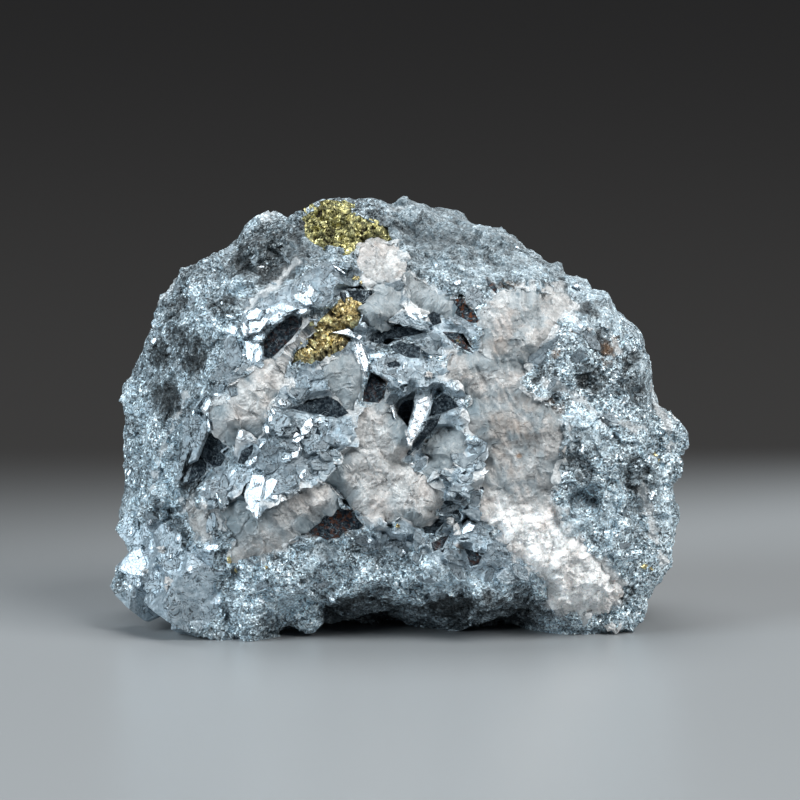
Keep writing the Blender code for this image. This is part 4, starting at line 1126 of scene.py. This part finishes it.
def relief_share(points, normal, on_flats):
    """How much of the rock's relief shows at each point."""
    x, w, _ = on_plane(points)
    share = 1.0 - (1.0 - BROKEN_RELIEF) * step_up(gap_to(x, w, closed_line(BROKEN_FACE)), -1.0, 1.0)
    share[on_flats] = FLAT_RELIEF
    share[points[:, 2] < GROUND] = 0.0
    return share * (1.0 - SIDE_CALM * step_up(normal @ AWAY, -0.6, -0.1))


def face_seats(points, faces, rims):
    """Every crystal face that has rock to lie on, as (kind, share of rust, outline, middle, direction)."""
    tree = BVHTree.FromPolygons(points.tolist(), faces.tolist())
    seats = []
    for group, facing in ((crystal_faces(), FACING), (scattered_faces(rims), SCATTER_FACING)):
        for kind, rust, outline in group:
            plane = face_plane(tree, outline, kind, facing)
            if plane is not None:
                seats.append((kind, rust, outline, *plane))
    return seats


def add_ore(ore, grained, smooth, mirror, rims):
    """The ore with its crystal faces. It gives back the finished rock, to look up where its surface is."""
    every_rim = list(rims.values())
    plain, faces, area = rounded_blocks(*mesh_arrays(ore), every_rim)
    flat = area > FLAT_AREA
    points = wandering_seams(plain, every_rim)
    normal = point_normals(points, faces)
    height = ore_relief(points) * relief_share(points, normal, faces[flat].reshape(-1))
    moved = points + normal * height[:, None]
    seats = face_seats(moved, faces, every_rim)
    moved = seat_faces(moved, [seat[2:] for seat in seats])
    moved[:, 2] = np.maximum(moved[:, 2], np.minimum(points[:, 2], GROUND / 2))
    values = ore_values(plain, height, [rim for name, rim in rims.items() if name.startswith("calcite")])
    middle = moved[faces].mean(axis=1)
    front = middle[:, 1] < 0.0
    pieces = {}
    for number, (low, high) in enumerate(zip(ORE_SPLITS, ORE_SPLITS[1:])):
        pieces[f"ore_front_{number}"] = front & (middle[:, 0] >= low) & (middle[:, 0] < high)
    pieces["ore_back"] = ~front
    for name, chosen in pieces.items():
        some, shape, own = part_of(moved, faces, chosen, values)
        made = add_piece(name, some, shape, [grained, smooth], own, flat[chosen].astype(int))
        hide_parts("skutterudite_ore")
    add_crystal_faces(seats, [mirror, smooth])
    return BVHTree.FromPolygons(moved.tolist(), faces.tolist())


def cleavage_steps(points, turns, spacing, rise, slope, seed):
    """Stepped cleavage: blocks between two sets of straight breaks, each with its own height and slope."""
    x, w, _ = on_plane(points)
    bend = soft_noise(points, spacing * 2.0, seed)
    cells, parts = [], []
    for turn in turns:
        along = turned(x, w, turn)[0] / spacing + 0.5 * bend
        along += 0.4 * soft_noise(np.stack([along, along * 0.0, along * 0.0], axis=1), 1.0, seed)
        cells.append(np.floor(along).astype(np.int64))
        parts.append(along - cells[-1] - 0.5)
    own = hashed(np.stack([*cells, cells[0] * 0], axis=1), seed) - 0.5
    return rise * own[:, 0] + slope * spacing * (own[:, 1] * parts[0] + own[:, 2] * parts[1])


def rim_depth(tree, x, w, rim):
    """The depth of the ore just outside an outline, at the part of it nearest to each place."""
    spots = []
    for start, end in rim:
        length = np.linalg.norm(end - start)
        across = np.array((end[1] - start[1], start[0] - end[0])) / length
        for share in np.arange(0.25, length, 0.5) / length:
            spots += [start + (end - start) * share + across * side for side in (-LOOK_OUT, LOOK_OUT)]
    spots = np.array(spots)
    spots = spots[gap_to(spots[:, 0], spots[:, 1], rim) < -0.3]
    hits = [(spot, hit_from_view(tree, *spot)) for spot in spots]
    found = np.array([(*spot, on_plane(hit[0][None])[2][0]) for spot, hit in hits if hit])
    nearest = np.zeros(len(x))
    for k in range(0, len(x), BATCH):
        part = slice(k, k + BATCH)
        off = np.hypot(x[part, None] - found[:, 0], w[part, None] - found[:, 1])
        weight = 1.0 / (off + 0.3) ** 4
        nearest[part] = (weight * found[:, 2]).sum(axis=1) / weight.sum(axis=1)
    return nearest


def fine_front(points, faces, longest):
    """The mesh of a seated mineral, made fine on the face that shows and coarse behind."""
    cross = cross_of(points, faces)
    hidden = np.where(cross @ AWAY > -0.3 * np.linalg.norm(cross, axis=1), 1.0, 0.0)
    points, faces, _ = refined(
        points, faces, hidden, lambda middle, tag: np.where(tag > 0.5, HIDDEN_EDGE, longest)
    )
    return points, faces


def sunk_edge(points, gap, place, rim, tree, seed):
    """Lets the edge of a seated mineral run out and dip under the ore around it, unevenly."""
    wander = 0.6 * soft_noise(points, 1.7, seed) + 0.5 * soft_noise(points, 0.7, seed + 1)
    near = 1.0 - step_up(gap + 0.5 * wander, 0.0, SEAM_SLOPE)
    drop = rim_depth(tree, *place, rim) + SEAM_SINK * near - on_plane(points)[2]
    drop = np.clip(drop, 0.0, SEAM_DEPTH) * near
    return points + outward_of(*place, rim) * (SEAM_REACH * near)[:, None] + drop[:, None] * AWAY


def outward_of(x, w, rim):
    """The direction in the view plane that leads out of an outline."""
    step = 0.05
    across = gap_to(x - step, w, rim) - gap_to(x + step, w, rim)
    up = gap_to(x, w - step, rim) - gap_to(x, w + step, rim)
    length = np.maximum(np.hypot(across, up), 1e-6)
    return (across / length)[:, None] * RIGHT + (up / length)[:, None] * UP


def seated_mesh(name, source, rims, longest):
    """The fine mesh of a seated mineral, its places on the view plane, and their gap to its outline."""
    points, faces = fine_front(*mesh_arrays(source), longest)
    place = on_plane(points)[:2]
    return wandering_seams(points, list(rims.values())), faces, place, gap_to(*place, rims[name])


def raised(points, faces, relief):
    """Moves the face that shows of a seated mineral out by its relief."""
    normal = point_normals(points, faces)
    return points + normal * np.where(normal @ AWAY < -0.3, relief, 0.0)[:, None]


def vein_looks(points, place, wander, speckle, values):
    """The long vein is sugary above and blocky white below. This changes its values and gives its relief."""
    x, w = place
    low = 1.0 - step_up(w + 1.5 * wander, 17.0, 23.0)
    top = step_up(w + 1.5 * wander, 33.0, 40.0)
    fibres = tufts(points, 110.0, 31)
    patches = step_up(soft_noise(points, 2.4, 31) + 0.4 * speckle, -0.2, 0.5)
    values["grey"] = np.maximum(values["grey"] * (1.0 - 0.8 * low), 0.6 * patches * (1.0 - low))
    values["shade"] *= (0.8 + 1.0 * low + 0.16 * top) * (1.0 + 0.14 * fibres * (1.0 - low))
    stain = around(x, w, VEIN_STAINS) * step_up(soft_noise(points, 1.5, 33), -0.4, 0.6)
    values["rust"] = np.maximum(0.4 * stain, around(x, w, VEIN_SPOT))
    lumps = sum(np.abs(soft_noise(points, size, 32)) * rise for size, rise in VEIN_LUMPS)
    return (lumps - 0.9) * low + 0.34 * fibres * (1.0 - low)


def add_calcite(name, source, material, rims, tree, seed):
    points, faces, place, gap = seated_mesh(name, source, rims, CALCITE_EDGE)
    wander = soft_noise(points, 1.6, 35)
    speckle = soft_noise(points, 0.6, 36)
    tilt, own = tilted_grains(points, 0.8, seed)
    cloud = step_up(soft_noise(points, 5.0, 37) + 0.4 * wander - 0.16 * gap, -0.1, 0.7)
    values = {
        "grey": np.maximum(0.7 if name in GREY_CALCITE else 0.0, 0.85 * cloud),
        "rust": np.zeros(len(points)),
        "shade": 0.88 + 0.12 * own[:, 1] + 0.08 * soft_noise(points, 3.0, seed),
        "fleck": step_up(speckle + 1.2 * wander - 1.2 * gap, 0.3, 0.7),
    }
    steps = cleavage_steps(points, (20.0, 100.0), 4.2, 0.45, 0.3, seed)
    steps += cleavage_steps(points, (60.0, 140.0), 2.1, 0.2, 0.4, seed + 1)
    relief = 0.22 * tilt + steps * (0.3 if name == VEIN else 1.0)
    if name == VEIN:
        relief += vein_looks(points, place, wander, speckle, values)
    moved = sunk_edge(raised(points, faces, relief), gap, place, rims[name], tree, seed)
    made = add_piece(name + "_cleaved", moved, faces, [material], values)
    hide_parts(name)


def add_brass(name, source, material, rims, tree, seed):
    points, faces, place, gap = seated_mesh(name, source, rims, BRASS_EDGE)
    relief = 0.1 + 0.3 * soft_noise(points, 1.6, seed + 3)
    for size, share in ((1.3, 0.5), (0.7, 0.9)):
        tilt, own = tilted_grains(points, size, seed)
        relief += tilt * share + own[:, 0] * 0.16 * size
    moved = sunk_edge(raised(points, faces, relief), gap * 1.5, place, rims[name], tree, seed)
    # The low parts of the relief are darker, carried by the rust attribute.
    values = {"rust": step_up(-relief, 0.1, 0.45)}
    made = add_piece(name + "_grained", moved, faces, [material], values)
    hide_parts(name)


def add_bits(name, spots, material, values, tree):
    """Small angular grains in clusters on the ore, around spots given as (x, w, size)."""
    draw = random.Random(len(spots))
    points, faces = [], []
    for x, w, size in spots:
        hit = hit_from_view(tree, x, w)
        if not hit:
            continue
        for _ in range(GRAINS_IN_CLUSTER):
            middle = hit[0] + np.array([draw.uniform(-0.35, 0.35) * size for _ in range(3)])
            first = len(points)
            for axis in range(3):
                for side in (-1, 1):
                    corner = np.array([draw.uniform(-0.24, 0.24) for _ in range(3)])
                    corner[axis] += side * draw.uniform(0.18, 0.45)
                    points.append(middle + corner * size)
            for a, b, c in product((0, 1), (2, 3), (4, 5)):
                second, third = (b, c) if (a + b + c) % 2 == 0 else (c, b)
                faces.append((first + a, first + second, first + third))
    points, faces = np.array(points), np.array(faces)
    values = {key: np.full(len(points), value) for key, value in values.items()}
    add_piece(name, points, faces, [material], values)


def add_light(name, place, size, energy, colour):
    """A square or oblong lamp that faces the stone. Its size is in metres and its energy in watts."""
    light = bpy.data.lights.new(name, "AREA")
    light.shape = "RECTANGLE"
    light.size, light.size_y = size
    light.energy = energy
    light.color = colour
    made = add_object(name, light)
    made.location = place
    made.rotation_euler = (Vector(LAMP_AIM) - Vector(place)).to_track_quat("-Z", "Y").to_euler()


def floor_material():
    """A pale floor with painted light fall-off: it darkens into the dark behind the stone, sooner on the left
    than on the right.
    """
    material, tree, shader = new_material("floor")
    place = node(tree, "ShaderNodeSeparateXYZ")
    feed(tree, place, {0: node(tree, "ShaderNodeTexCoord").outputs["Object"]})
    start = times_plus(tree, place.outputs["X"], 0.7, 0.045)
    painted_falloff = smooth_ramp(tree, {"Value": place.outputs["Y"], "From Min": start, "From Max": 0.2})
    colour = mixed(tree, painted_falloff, FLOOR_FRONT, FLOOR_BACK)
    feed(tree, shader, {"Base Color": colour, "Roughness": 0.35})
    return material


def add_stage():
    mesh = bpy.data.meshes.new("floor")
    mesh.from_pydata([(-3, -3, 0), (3, -3, 0), (3, 3, 0), (-3, 3, 0)], [], [(0, 1, 2, 3)])
    mesh.materials.append(floor_material())
    floor = add_object("floor", mesh)
    world = bpy.data.worlds.new("studio")
    world.use_nodes = True
    feed(world.node_tree, world.node_tree.nodes["Background"], {"Color": STUDIO_GREY})
    bpy.context.scene.world = world
    bpy.context.scene.view_settings.view_transform = "Standard"
    add_light("key", KEY_PLACE, (0.6, 0.6), 11.5, KEY_COLOUR)
    add_light("fill", FILL_PLACE, (0.5, 0.65), 9.6, FILL_COLOUR)
    add_light("top", TOP_PLACE, (0.6, 0.5), 4.5, TOP_COLOUR)


def add_camera():
    camera = bpy.data.cameras.new("camera")
    camera.lens = LENS
    camera.sensor_width = FILM_WIDTH
    camera.clip_end = 20.0
    made = add_object("camera", camera)
    made.location = in_space(0.0, CAMERA_AIM, -CAMERA_DISTANCE) * MM
    made.rotation_euler = Vector(AWAY).to_track_quat("-Z", "Y").to_euler()
    bpy.context.scene.camera = made


def main():
    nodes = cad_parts
    rims = {name: rim_of(source) for name, source in nodes.items() if name != "skutterudite_ore"}
    grained = ore_grain_material()
    smooth = ore_face_material("ore_faces", FACE_GREYS, metallic=0.45, roughness=0.38, lined=0.85, lines=9.0)
    mirror = ore_face_material(
        "ore_mirrors", MIRROR_GREYS, metallic=0.8, roughness=0.22, lined=0.7, lines=3.0
    )
    tree = add_ore(nodes["skutterudite_ore"], grained, smooth, mirror, rims)
    calcite = calcite_material()
    brass = {
        "chalcopyrite_crown": brass_material("chalcopyrite_pale", *PALE_BRASS),
        "chalcopyrite_band": brass_material("chalcopyrite_gold", *GOLD_BRASS),
    }
    for number, name in enumerate(sorted(rims)):
        if name.startswith("calcite"):
            add_calcite(name, nodes[name], calcite, rims, tree, CALCITE_SEED + number)
        else:
            add_brass(name, nodes[name], brass[name], rims, tree, BRASS_SEED + number)
    gold = brass["chalcopyrite_band"]
    add_bits("chalcopyrite_specks", GOLD_SPECKS, gold, {"rust": 0.0}, tree)
    white = {"grey": 0.0, "rust": 0.0, "shade": 1.1, "fleck": 0.0}
    add_bits("calcite_bits", WHITE_BITS, calcite, white, tree)
    add_stage()
    add_camera()


main()
